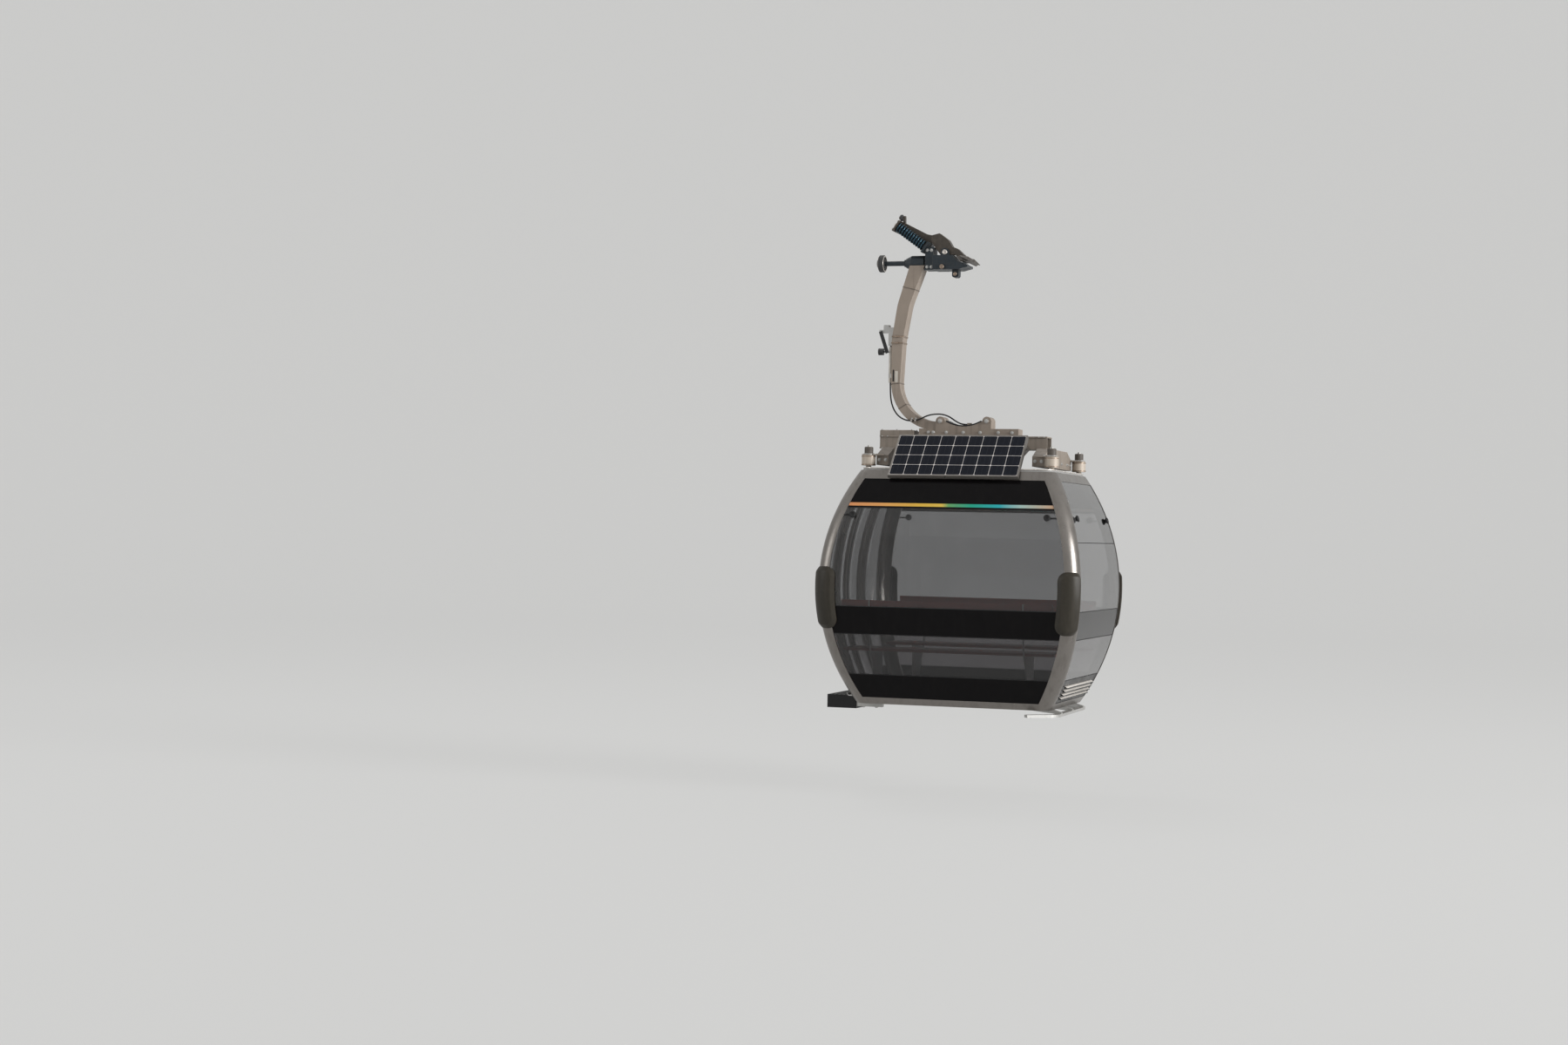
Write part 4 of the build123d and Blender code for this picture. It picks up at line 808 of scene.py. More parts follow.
def pick_faces(obj: bpy.types.Object, wanted: Callable[[bpy.types.MeshPolygon], bool]) -> None:
    """Selects faces by place or normal, and leaves the object in edit mode on faces.

    Args:
        obj: The mesh object, in object mode.
        wanted: Says whether a face is chosen.
    """
    only(obj)
    for element in (*obj.data.vertices, *obj.data.edges):
        element.select = False
    for face in obj.data.polygons:
        face.select = wanted(face)
    bpy.ops.object.mode_set(mode="EDIT")
    bpy.ops.mesh.select_mode(type="FACE")


def edit_all(obj: bpy.types.Object) -> None:
    """Opens an object in edit mode with everything selected.

    Args:
        obj: The mesh object, in object mode.
    """
    only(obj)
    bpy.ops.object.mode_set(mode="EDIT")
    bpy.ops.mesh.select_all(action="SELECT")


def smooth(obj: bpy.types.Object, angle: float) -> bpy.types.Object:
    """Shades an object smooth up to an angle.

    Args:
        obj: The mesh object.
        angle: The sharpest edge that stays smooth, in degrees.

    Returns:
        The same object.
    """
    only(obj)
    bpy.ops.object.shade_smooth_by_angle(angle=math.radians(angle))
    return obj


def close_mesh(obj: bpy.types.Object, angle: float) -> bpy.types.Object:
    """Fills the open ends, turns the faces outward, leaves edit mode and shades the mesh.

    Args:
        obj: The mesh object, in edit mode.
        angle: The sharpest edge that stays smooth, in degrees.

    Returns:
        The same object.
    """
    bpy.ops.mesh.select_all(action="SELECT")
    bpy.ops.mesh.fill_holes(sides=0)
    bpy.ops.mesh.select_all(action="SELECT")
    bpy.ops.mesh.normals_make_consistent(inside=False)
    leave_edit()
    return smooth(obj, angle)


def apply_modifier(obj: bpy.types.Object, kind: str, **settings: object) -> None:
    """Adds one modifier and applies it.

    Args:
        obj: The mesh object.
        kind: The modifier's type.
        settings: Its properties.
    """
    only(obj)
    modifier = obj.modifiers.new("step", kind)
    for name, value in settings.items():
        setattr(modifier, name, value)
    bpy.ops.object.modifier_apply(modifier="step")


def round_edges(obj: bpy.types.Object, width: float, segments: int = 2, angle: float = 30.0) -> None:
    """Bevels the sharp edges and shades the piece smooth between them.

    Args:
        obj: The mesh object.
        width: The bevel's width.
        segments: How many faces make the bevel.
        angle: The least angle that counts as sharp, in degrees.
    """
    apply_modifier(
        obj,
        "BEVEL",
        width=width,
        segments=segments,
        limit_method="ANGLE",
        angle_limit=math.radians(angle),
        use_clamp_overlap=True,
    )
    smooth(obj, 40.0)


def settle(obj: bpy.types.Object, place: Matrix) -> bpy.types.Object:
    """Moves the mesh itself to its place and leaves the object at the origin.

    Args:
        obj: The mesh object.
        place: The move.

    Returns:
        The same object.
    """
    obj.data.transform(place @ obj.matrix_basis)
    obj.matrix_basis = Matrix.Identity(4)
    return obj


def face_frame(origin: Vector, outward: Vector, upward: Vector) -> Matrix:
    """A place whose +Z looks outward and whose +Y leans upward.

    Args:
        origin: Where the piece sits.
        outward: The way its top looks.
        upward: Roughly the way its +Y points.

    Returns:
        The matrix from the piece's own axes.
    """
    normal = outward.normalized()
    across = upward.cross(normal).normalized()
    turned = Matrix((across, normal.cross(across), normal)).transposed().to_4x4()
    return Matrix.Translation(origin) @ turned


def joined(parts: Sequence[bpy.types.Object]) -> bpy.types.Object:
    """Joins several parts as one piece.

    Args:
        parts: The parts, of which the first one stays.

    Returns:
        The joined piece.
    """
    clear_selection()
    for part in parts:
        part.select_set(True)
    bpy.context.view_layer.objects.active = parts[0]
    if len(parts) > 1:
        bpy.ops.object.join()
    return bpy.context.view_layer.objects.active


def copies(model: bpy.types.Object, places: Iterable[Matrix]) -> bpy.types.Object:
    """Copies a model to each place, each copy with its own mesh, and joins them as one piece.

    Args:
        model: The modelled piece about the origin.
        places: One matrix for each copy.

    Returns:
        The joined piece.
    """
    made = []
    for place in places:
        copy = model.copy()
        copy.data = model.data.copy()
        bpy.context.scene.collection.objects.link(copy)
        made.append(settle(copy, place))
    bpy.data.objects.remove(model, do_unlink=True)
    return joined(made)


def block(size: Color, bevel: float) -> bpy.types.Object:
    """A block about the origin, as the start of a piece.

    Args:
        size: Its size along X, Y and Z.
        bevel: How far its edges are softened.

    Returns:
        The block.
    """
    clear_selection()
    bpy.ops.mesh.primitive_cube_add(size=1.0)
    obj = bpy.context.object
    obj.data.transform(Matrix.Diagonal((*size, 1.0)))
    if bevel:
        round_edges(obj, bevel)
    return obj


def turned_part(profile: Sequence[tuple[float, float]], vertices: int = 28) -> bpy.types.Object:
    """A round part about +Z: a circle drawn up through a profile of radius and height.

    Args:
        profile: Points up the part's side. Both ends are closed flat, unless the last point is
            the first again, which makes a ring.
        vertices: How many points go round.

    Returns:
        The closed part.
    """
    clear_selection()
    radius, height = profile[0]
    bpy.ops.mesh.primitive_circle_add(vertices=vertices, radius=radius, location=(0, 0, height))
    obj = settle(bpy.context.object, Matrix.Identity(4))
    bpy.ops.object.mode_set(mode="EDIT")
    bpy.ops.mesh.select_mode(type="EDGE")
    bpy.ops.mesh.select_all(action="SELECT")
    for next_radius, next_height in profile[1:]:
        bpy.ops.mesh.extrude_edges_move(
            TRANSFORM_OT_translate={"value": (0, 0, next_height - height)}
        )
        share = next_radius / radius
        bpy.ops.transform.resize(value=(share, share, 1.0), center_override=(0, 0, next_height))
        radius, height = next_radius, next_height
    bpy.ops.mesh.select_all(action="SELECT")
    bpy.ops.mesh.remove_doubles(threshold=1e-6)
    return close_mesh(obj, 35.0)


def tube(bore: float, radius: float, low: float, high: float) -> bpy.types.Object:
    """A tube about +Z, between its bore and its outer radius."""
    return turned_part([(bore, low), (radius, low), (radius, high), (bore, high), (bore, low)], 20)


def band(
    node: bpy.types.Object, middle: Color, lean: float, height: float, proud: float
) -> bpy.types.Object:
    """A thin band that fits closely round a CAD node.

    Args:
        node: The CAD node, of which only a copy is cut.
        middle: A point at the band's mid-height.
        lean: How far its axis leans from +Z towards -X, in degrees.
        height: The band's height along its axis.
        proud: How far it stands out.

    Returns:
        The closed band.
    """
    obj = node.copy()
    obj.data = node.data.copy()
    bpy.context.scene.collection.objects.link(obj)
    obj.parent = None
    obj.matrix_world = Matrix.Identity(4)
    axis = Vector((-math.sin(math.radians(lean)), 0.0, math.cos(math.radians(lean))))
    edit_all(obj)
    bpy.ops.mesh.remove_doubles(threshold=1e-5)
    for side in Side:
        bpy.ops.mesh.select_all(action="SELECT")
        bpy.ops.mesh.bisect(
            plane_co=Vector(middle) + axis * (side.value * height / 2),
            plane_no=axis * -side.value,
            clear_inner=True,
        )
    leave_edit()
    apply_modifier(obj, "SOLIDIFY", thickness=proud, offset=1.0, use_even_offset=True)
    return smooth(obj, 40.0)


@dataclass(frozen=True)
class Fastener:
    """A hexagon bolt on its washer, with the washer's underside at the origin."""

    head_radius: float = 0.011
    head_height: float = 0.009
    washer_radius: float = 0.016
    washer_height: float = 0.0025

    @staticmethod
    def _disc(vertices: int, radius: float, height: float, low: float) -> bpy.types.Object:
        """A plain disc about +Z.

        Args:
            vertices: How many points go round.
            radius: Its radius.
            height: Its height.
            low: Where its underside is.

        Returns:
            The disc.
        """
        clear_selection()
        bpy.ops.mesh.primitive_cylinder_add(
            vertices=vertices, radius=radius, depth=height, location=(0, 0, low + height / 2)
        )
        return settle(bpy.context.object, Matrix.Identity(4))

    def model(self) -> bpy.types.Object:
        """Models one bolt.

        Returns:
            The bolt, pointing up +Z.
        """
        washer = self._disc(24, self.washer_radius, self.washer_height, 0.0)
        round_edges(washer, self.washer_height * 0.25, 1)
        head = self._disc(6, self.head_radius, self.head_height, self.washer_height)
        top = self.washer_height + self.head_height * 0.9
        pick_faces(head, lambda face: face.center.z > top)
        bpy.ops.mesh.inset(thickness=self.head_radius * 0.18)
        bpy.ops.transform.translate(value=(0, 0, self.head_height * 0.14))
        leave_edit()
        return joined([head, washer])


@dataclass
class Details:
    """A group of small pieces, which one workshop dresses."""

    shop: Workshop

    def take(
        self,
        obj: bpy.types.Object,
        name: str,
        slot: str,
        finish: str | None = None,
        body: Body = Body.CABIN,
    ) -> None:
        """Hands a finished piece over, for the cabin unless another body is named."""
        self.shop.take(obj, name, body, slot, finish)

    def bolt(self, kind: Fastener, name: str, spots: Iterable[Spot], body: Body = Body.CABIN) -> None:
        """Puts one bolt on each spot, and joins them as one piece.

        Args:
            kind: The bolt.
            name: The piece's name.
            spots: Each bolt's place and the way it points.
            body: The body that carries it.
        """
        places = []
        for place, outward in spots:
            upward = AXIS_Z if abs(outward[2]) < 0.7 else AXIS_X
            places.append(face_frame(Vector(place), Vector(outward), upward))
        self.take(copies(kind.model(), places), name, "bracket_steel", body=body)


@dataclass
class DoorCable(Details):
    """The thin cable from the door control down the arm and over to the roof."""

    radius: float = 0.007
    length: float = 1.40
    route: tuple[Color, ...] = (
        (-0.726, -0.020, -0.760),
        (-0.726, -0.020, -1.150),
        (-0.706, -0.032, -1.310),
        (-0.640, -0.060, -1.412),
        (-0.545, -0.097, -1.462),
        (-0.440, -0.097, -1.462),
        (-0.350, -0.088, -1.415),
        (-0.290, -0.060, -1.398),
        (-0.215, -0.030, -1.396),
        (-0.150, -0.010, -1.418),
        (-0.090, -0.005, -1.462),
        (-0.030, -0.005, -1.490),
        (0.020, -0.005, -1.490),
    )

    def build(self) -> None:
        """Draws the cable on one smooth curve through its route."""
        curve = bpy.data.curves.new("door_cable_line", "CURVE")
        curve.dimensions = "3D"
        curve.bevel_depth = self.radius
        curve.bevel_resolution = 5
        curve.use_fill_caps = True
        spline = curve.splines.new("NURBS")
        spline.points.add(len(self.route) - 1)
        for point, place in zip(spline.points, self.route):
            point.co = (*place, 1.0)
        spline.order_u = 3
        spline.use_endpoint_u = True
        spline.resolution_u = 12
        cable = bpy.data.objects.new("cable_sheath", curve)
        bpy.context.scene.collection.objects.link(cable)
        self.take(cable, "cable_sheath", "black_rubber")
        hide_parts("door_cable")


@dataclass
class GripDetails(Details):
    """Coil springs with their guide rods, pin ends, the roller's bright flanks and bolts."""

    tilt: float = 36.0
    foot: Color = (-0.402, 0.0, 0.150)
    apart: float = 0.062
    length: float = 0.330
    outer_radius: float = 0.0495
    wire_radius: float = 0.0085
    wire_points: int = 10
    turns: int = 11
    turn_steps: int = 24
    end_gap: float = 0.001
    rod_radius: float = 0.022
    rod_collar: float = 0.010
    collar_height: float = 0.014
    taper_height: float = 0.020
    rod_end: Profile = (
        (0.034, 0.0), (0.034, 0.007), (0.030, 0.010), (0.019, 0.011), (0.017, 0.018), (0.012, 0.021),
    )
    seat_thickness: float = 0.016
    seat_bolt: Fastener = Fastener(0.008, 0.007, 0.012, 0.002)
    seat_bolt_out: float = 0.098
    seat_bolt_up: float = 0.043
    pins: tuple[tuple[str, Color, float, str], ...] = (
        ("lever_pin_ends", (-0.215, 0.072, 0.100), 0.024, "worn_bright"),
        ("stop_pin_ends", (-0.226, 0.126, -0.039), 0.021, "bronze"),
        ("latch_pin_ends", (-0.117, 0.056, -0.101), 0.018, "bronze"),
    )
    pin_end: Profile = ((1.0, 0.0), (1.0, 0.006), (0.86, 0.009), (0.5, 0.0095), (0.42, 0.0075), (0.2, 0.0072))
    roller: Color = (-0.83, 0.0, 0.008)
    flank_x: float = 0.024
    flank_radii: tuple[float, float] = (0.0645, 0.0745)
    flank_height: float = 0.003
    flank_round: float = 0.0015
    recess_x: float = 0.014
    recess_bolt: Fastener = Fastener(0.0045, 0.005, 0.0062, 0.001)
    recess_bolts: int = 6
    recess_bolt_radius: float = 0.051
    cheek_bolt: Fastener = Fastener(0.010, 0.008, 0.015, 0.002)
    cheek_y: float = 0.075
    cheek_bolt_x: tuple[float, ...] = (-0.380, -0.340)
    cheek_bolt_z: tuple[float, ...] = (-0.035, 0.120)

    def _axis(self) -> Vector:
        """The way from the springs' feet to their heads."""
        return Vector((-math.cos(math.radians(self.tilt)), 0.0, math.sin(math.radians(self.tilt))))

    def _places(self, along: float = 0.0) -> list[Matrix]:
        """The two springs' feet, or points further up their axes.

        Args:
            along: How far up the axes.

        Returns:
            One place for each spring.
        """
        axis = self._axis()
        middle = Vector(self.foot) + axis * along
        return [face_frame(middle + AXIS_Y * (side.value * self.apart), axis, AXIS_Y) for side in Side]

    def _coil(self) -> bpy.types.Object:
        """Models one coil with the Screw modifier and closes its ends.

        Returns:
            The coil, standing on the origin.
        """
        clear_selection()
        bpy.ops.mesh.primitive_circle_add(
            vertices=self.wire_points, radius=self.wire_radius, fill_type="NOTHING"
        )
        coil = bpy.context.object
        low = self.end_gap + self.wire_radius
        start = Matrix.Translation((self.outer_radius - self.wire_radius, 0.0, low))
        settle(coil, start @ Matrix.Rotation(math.radians(90), 4, "X"))
        apply_modifier(
            coil,
            "SCREW",
            axis="Z",
            screw_offset=(self.length - 2 * low) / self.turns,
            iterations=self.turns,
            steps=self.turn_steps,
            render_steps=self.turn_steps,
            use_merge_vertices=True,
            merge_threshold=1e-6,
        )
        edit_all(coil)
        return close_mesh(coil, 50.0)

    def _springs(self) -> None:
        """Replaces the plain spring tubes with coils on guide rods, each with its end nut."""
        coils = copies(self._coil(), self._places())
        self.take(coils, "spring_coils", "spring_steel", body=Body.GRIP)
        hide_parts("springs")
        thin, thick = self.rod_radius, self.rod_radius + self.rod_collar
        half = [(thick, 0.0), (thick, self.collar_height), (thin, self.taper_height)]
        rod = turned_part(half + [(radius, self.length - height) for radius, height in reversed(half)], 20)
        self.take(copies(rod, self._places()), "spring_rods", "grip_steel", body=Body.GRIP)
        head = self.length + self.seat_thickness
        ends = copies(turned_part(self.rod_end), self._places(head))
        self.take(ends, "spring_rod_ends", "bracket_steel", "worn_bright", Body.GRIP)
        axis = self._axis()
        plate = Vector(self.foot) + axis * head
        upward = axis.cross(AXIS_Y) * self.seat_bolt_up
        spots = [
            (plate + AXIS_Y * (side.value * self.seat_bolt_out) + upward * edge.value, axis)
            for side, edge in product(Side, Side)
        ]
        self.bolt(self.seat_bolt, "spring_plate_bolts", spots, Body.GRIP)

    def _pin_ends(self) -> None:
        """Puts a turned end on each cross pin."""
        for name, (x, y, z), radius, finish in self.pins:
            places = [
                face_frame(Vector((x, side.value * y, z)), AXIS_Y * side.value, AXIS_Z) for side in Side
            ]
            end = turned_part([(radius * share, height) for share, height in self.pin_end])
            self.take(copies(end, places), name, "bracket_steel", finish, Body.GRIP)

    def _roller(self) -> None:
        """Bright rings on the running roller's flanks, with bolts in its recesses."""
        inner, outer = self.flank_radii
        soft, high = self.flank_round, self.flank_height
        inside = [(inner, 0.0), (inner, soft), (inner + soft, high)]
        ring = turned_part(inside + [(outer - soft, high), (outer, soft), (outer, 0.0), (inner, 0.0)], 48)
        middle = Vector(self.roller)
        places = [
            face_frame(middle + AXIS_X * (side.value * self.flank_x), AXIS_X * side.value, AXIS_Z)
            for side in Side
        ]
        rings = copies(ring, places)
        self.take(rings, "roller_flanks", "bracket_steel", "worn_bright", Body.RUNNING_ROLLER)
        spots = []
        for side, index in product(Side, range(self.recess_bolts)):
            turn = math.tau * index / self.recess_bolts
            spoke = Vector((0.0, math.cos(turn), math.sin(turn))) * self.recess_bolt_radius
            spots.append((middle + AXIS_X * (side.value * self.recess_x) + spoke, AXIS_X * side.value))
        self.bolt(self.recess_bolt, "roller_bolts", spots, Body.RUNNING_ROLLER)

    def build(self) -> None:
        """Builds the springs, the pin ends, the roller's flanks and the bolts."""
        self._springs()
        self._pin_ends()
        self._roller()
        cheek = [
            ((x, side.value * self.cheek_y, z), (0.0, side.value, 0.0))
            for x, z, side in product(self.cheek_bolt_x, self.cheek_bolt_z, Side)
        ]
        self.bolt(self.cheek_bolt, "cheek_bolts", cheek, Body.GRIP)


@dataclass
class ArmDetails(Details):
    """Clamps, weld lines, cable sleeve and blank plate on the hanger arm, and its foot's parts."""

    half_depth: float = 0.075
    straps: tuple[Color, ...] = ((-0.69, 0.0, -0.679), (-0.69, 0.0, -0.738))
    strap_height: float = 0.014
    strap_proud: float = 0.004
    strap_block: Color = (0.034, 0.018, 0.020)
    strap_block_x: float = -0.655
    strap_block_out: float = 0.006
    welds: tuple[tuple[Color, float], ...] = (
        ((-0.570, 0.0, -0.225), -14.0),
        ((-0.670, 0.0, -1.118), 6.0),
        ((-0.585, 0.0, -1.330), 32.0),
    )
    weld_height: float = 0.008
    weld_proud: float = 0.0025
    sleeve_radius: float = 0.0150
    sleeve_bore: float = 0.0118
    sleeve_low: float = -1.105
    sleeve_high: float = -0.772
    cable: tuple[float, float] = (-0.726, -0.020)
    plates: tuple[tuple[str, Color, Color, str, str | None], ...] = (
        ("blank_plate", (0.028, 0.105, 0.003), (-0.652, -0.075, -1.052), "alloy", "pale_plate"),
        ("plate_slot", (0.014, 0.110, 0.003), (-0.680, -0.075, -1.042), "step_black", None),
    )
    clamp_places: tuple[Color, ...] = ((-0.4925, -0.097, -1.462), (-0.455, -0.097, -1.462))
    clamp_bore: float = 0.0074
    clamp_radius: float = 0.0112
    clamp_width: float = 0.012
    clamp_screw: Fastener = Fastener(0.006, 0.005, 0.009, 0.002)
    clamp_screw_up: float = 0.010
    foot_half_depth: float = 0.085
    foot_bolt_x: tuple[float, ...] = (-0.330, -0.285, -0.160, 0.0, 0.160, 0.330, 0.460)
    foot_bolt_z: float = -1.567
    lug_nut: Fastener = Fastener(0.015, 0.012, 0.021, 0.003)
    lug_pin: tuple[float, float] = (0.220, -1.462)
    lug_pin_reach: float = 0.012
    saddle_centre_z: float = -1.170
    saddle_radius: float = 0.342
    saddle_turn: float = 29.5
    saddle_half_depth: float = 0.083
    saddle_wall: float = 0.013
    saddle_steps: int = 20

    def _bands(self) -> None:
        """Straps with their screw blocks, and the raised lines where the arm is welded."""
        arm = self.shop.nodes["hanger_arm"]
        straps = [band(arm, middle, 0.0, self.strap_height, self.strap_proud) for middle in self.straps]
        self.take(joined(straps), "arm_straps", "alloy", "bronze")
        depth = self.half_depth + self.strap_proud + self.strap_block_out
        places = [Matrix.Translation((self.strap_block_x, -depth, z)) for _, _, z in self.straps]
        screws = copies(block(self.strap_block, 0.003), places)
        self.take(screws, "strap_screws", "bracket_steel", "bronze")
        welds = [band(arm, middle, lean, self.weld_height, self.weld_proud) for middle, lean in self.welds]
        self.take(joined(welds), "arm_welds", "hanger_paint", "weld_line")

    def _sleeve(self) -> None:
        """The light tube that guides the cable's upper run."""
        sleeve = tube(self.sleeve_bore, self.sleeve_radius, self.sleeve_low, self.sleeve_high)
        settle(sleeve, Matrix.Translation((*self.cable, 0.0)))
        self.take(sleeve, "cable_sleeve", "alloy", "pale_plate")

    def _plates(self) -> None:
        """A blank plate on the arm's near face, and a dark one beside it."""
        for name, size, place, slot, finish in self.plates:
            plate = block(size, 0.001)
            self.take(settle(plate, face_frame(Vector(place), -AXIS_Y, AXIS_Z)), name, slot, finish)

    def _saddle(self) -> None:
        """The dark rubber strip in the hollow between the two lugs."""
        clear_selection()
        bpy.ops.mesh.primitive_plane_add(size=1.0)
        strip = bpy.context.object
        turn = math.radians(self.saddle_turn)
        upright = Matrix.Rotation(math.radians(90), 4, "Y")
        sized = Matrix.Diagonal((1.0, 2 * self.saddle_half_depth, self.saddle_wall, 1.0)) @ upright
        low_place = Matrix.Translation((0.0, 0.0, -self.saddle_radius + self.saddle_wall / 2))
        settle(strip, Matrix.Rotation(turn, 4, "Y") @ low_place @ sized)
        edit_all(strip)
        bpy.ops.mesh.spin(steps=self.saddle_steps, angle=2 * turn, center=(0, 0, 0), axis=(0, 1, 0))
        bpy.ops.mesh.select_all(action="SELECT")
        bpy.ops.mesh.remove_doubles(threshold=1e-6)
        bpy.ops.mesh.normals_make_consistent(inside=False)
        leave_edit()
        settle(strip, Matrix.Translation((0.0, 0.0, self.saddle_centre_z)))
        round_edges(strip, 0.001, 2, 50.0)
        self.take(strip, "saddle_strip", "black_rubber")

    def _foot(self) -> None:
        """Nuts on the lug pins and bolts along the foot beam."""
        x, z = self.lug_pin
        out = self.foot_half_depth + self.lug_pin_reach
        nuts = [
            ((end.value * x, side.value * out, z), (0.0, side.value, 0.0))
            for end, side in product(Side, Side)
        ]
        self.bolt(self.lug_nut, "lug_nuts", nuts)
        bolts = [
            ((place, side.value * self.foot_half_depth, self.foot_bolt_z), (0.0, side.value, 0.0))
            for place, side in product(self.foot_bolt_x, Side)
        ]
        self.bolt(Fastener(), "foot_bolts", bolts)

    def _clamps(self) -> None:
        """Small saddles, each with its screw, that hold the cable where it passes the arm's foot."""
        half = self.clamp_width / 2
        loop = tube(self.clamp_bore, self.clamp_radius, -half, half)
        places = [face_frame(Vector(place), AXIS_X, AXIS_Z) for place in self.clamp_places]
        self.take(copies(loop, places), "cable_clamps", "alloy", "worn_bright")
        up = self.clamp_radius + self.clamp_screw_up
        screws = [((x, -self.half_depth, z + up), (0.0, -1.0, 0.0)) for x, _, z in self.clamp_places]
        self.bolt(self.clamp_screw, "clamp_screws", screws)

    def build(self) -> None:
        """Builds the small parts of the arm and its foot."""
        self._bands()
        self._sleeve()
        self._plates()
        self._saddle()
        self._foot()
        self._clamps()


@dataclass
class WindowDetails(Details):
    """Knobs on the windows, seams between the panels, and pale strips on the louvres that paint the light on
    the slats' upward slopes.
    """

    glass_depth: float = 0.004
    knob_rise: float = 0.637
    end_knob_x: float = 0.885
    side_knob_y: float = 0.70
    knob_radius: float = 0.030
    knob_height: float = 0.028
    knob: Profile = (
        (0.62, 0.0), (0.62, 0.3), (1.0, 0.42), (1.0, 0.82),
        (0.86, 1.0), (0.50, 1.0), (0.42, 0.82), (0.15, 0.80),
    )
    stalk: Color = (0.085, 0.014, 0.008)
    seam_width: float = 0.007
    seam_proud: float = 0.0015
    seam_rises: tuple[float, ...] = (0.705, -0.178, -0.426, -0.788)
    side_seam_rises: tuple[float, ...] = (0.43, -0.178, -0.426, -0.788)
    pillar_trim: float = 0.125
    louvre_high: float = -0.850
    louvre_low: float = -0.985
    louvre_count: int = 4
    louvre_margin: float = 0.065
    slat_light_high: Color = (-0.001, 0.0, 0.0052)
    slat_light_low: Color = (0.019, 0.0, -0.0086)
    slat_light_thickness: float = 0.0028

    def _end_place(self, x: float, rise: float, end: Side) -> Matrix:
        """A place on an end window, looking outwards.

        Args:
            x: Distance from the cabin's middle plane.
            rise: Height above the widest level.
            end: Which end.

        Returns:
            The place's matrix.
        """
        y = end.value * PLACES.span(PLACES.half_length, rise, self.glass_depth)
        lean = rise / PLACES.bulge_radius
        outward = Vector((0.0, end.value * math.cos(math.asin(lean)), lean))
        return face_frame(Vector((PLACES.cabin_x + x, y, PLACES.widest_z + rise)), outward, AXIS_Z)

    def _side_place(self, y: float, rise: float) -> Matrix:
        """A place on the right window, looking outwards.

        Args:
            y: Distance along the cabin.
            rise: Height above the widest level.

        Returns:
            The place's matrix.
        """
        x = PLACES.cabin_x + PLACES.span(PLACES.half_width, rise, self.glass_depth)
        lean = rise / PLACES.bulge_radius
        outward = Vector((math.cos(math.asin(lean)), 0.0, lean))
        return face_frame(Vector((x, y, PLACES.widest_z + rise)), outward, AXIS_Z)

    def _knobs(self) -> None:
        """Round knobs on the windows, each with a stalk that points away from the middle."""
        places = [
            self._end_place(side.value * self.end_knob_x, self.knob_rise, end)
            for end, side in product(Side, Side)
        ]
        places += [self._side_place(side.value * self.side_knob_y, self.knob_rise) for side in Side]
        knob = turned_part([(self.knob_radius * out, self.knob_height * up) for out, up in self.knob])
        self.take(copies(knob, places), "window_knobs", "black_rubber")
        length, _, height = self.stalk
        stalk = settle(block(self.stalk, 0.002), Matrix.Translation((length / 2, 0.0, height / 2)))
        away = []
        for place in places:
            offset = place.translation - AXIS_X * PLACES.cabin_x
            turn = math.pi if offset.dot(place.col[0].to_3d()) < 0 else 0.0
            away.append(place @ Matrix.Rotation(turn, 4, "Z"))
        self.take(copies(stalk, away), "knob_stalks", "black_rubber")

    def _seam(self, name: str, half: float, rise: float, places: Sequence[Matrix]) -> None:
        """Lays a low crowned rubber strip along one level.

        Args:
            name: The piece's name, before its level.
            half: Half the body's size along the strip, at the widest level.
            rise: Height above the widest level.
            places: Where the strip goes.
        """
        length = 2 * (PLACES.span(half, rise) - self.pillar_trim)
        strip = block((length, self.seam_width, 2 * self.seam_proud), 0.0)
        pick_faces(strip, lambda face: face.normal.z > 0.5)
        bpy.ops.mesh.inset(thickness=self.seam_width * 0.2)
        bpy.ops.transform.translate(value=(0.0, 0.0, self.seam_proud * 0.6))
        leave_edit()
        self.take(copies(strip, places), f"{name}_{abs(round(rise * 1000))}", "black_rubber")

    def _louvres(self) -> None:
        """Lays a pale strip on each louvre slat's upward slope, as painted light on the black slats."""
        span = PLACES.span(PLACES.half_length, self.louvre_low)
        pitch = (self.louvre_high - self.louvre_low) / self.louvre_count
        high, low = Vector(self.slat_light_high), Vector(self.slat_light_low)
        slope = (high - low).normalized()
        places = []
        for index in range(self.louvre_count):
            rise = self.louvre_high - index * pitch
            skin = PLACES.cabin_x + PLACES.span(PLACES.half_width, rise, self.glass_depth)
            middle = Vector((skin, 0.0, PLACES.widest_z + rise)) + (low + high) / 2
            places.append(face_frame(middle, AXIS_Y.cross(slope), slope))
        length = 2 * (span - self.pillar_trim - self.louvre_margin)
        slat_light = block((length, (high - low).length, self.slat_light_thickness), 0.0008)
        # The pale strips are painted light on the slats' upward slopes.
        self.take(copies(slat_light, places), "louvre_painted_light", "satin_aluminium", "painted_slat_light")

    def build(self) -> None:
        """Builds the windows' small parts."""
        self._knobs()
        for rise in self.seam_rises:
            ends = [self._end_place(0.0, rise, end) for end in Side]
            self._seam("end_seam", PLACES.half_width, rise, ends)
        for rise in self.side_seam_rises:
            self._seam("side_seam", PLACES.half_length, rise, [self._side_place(0.0, rise)])
        self._louvres()


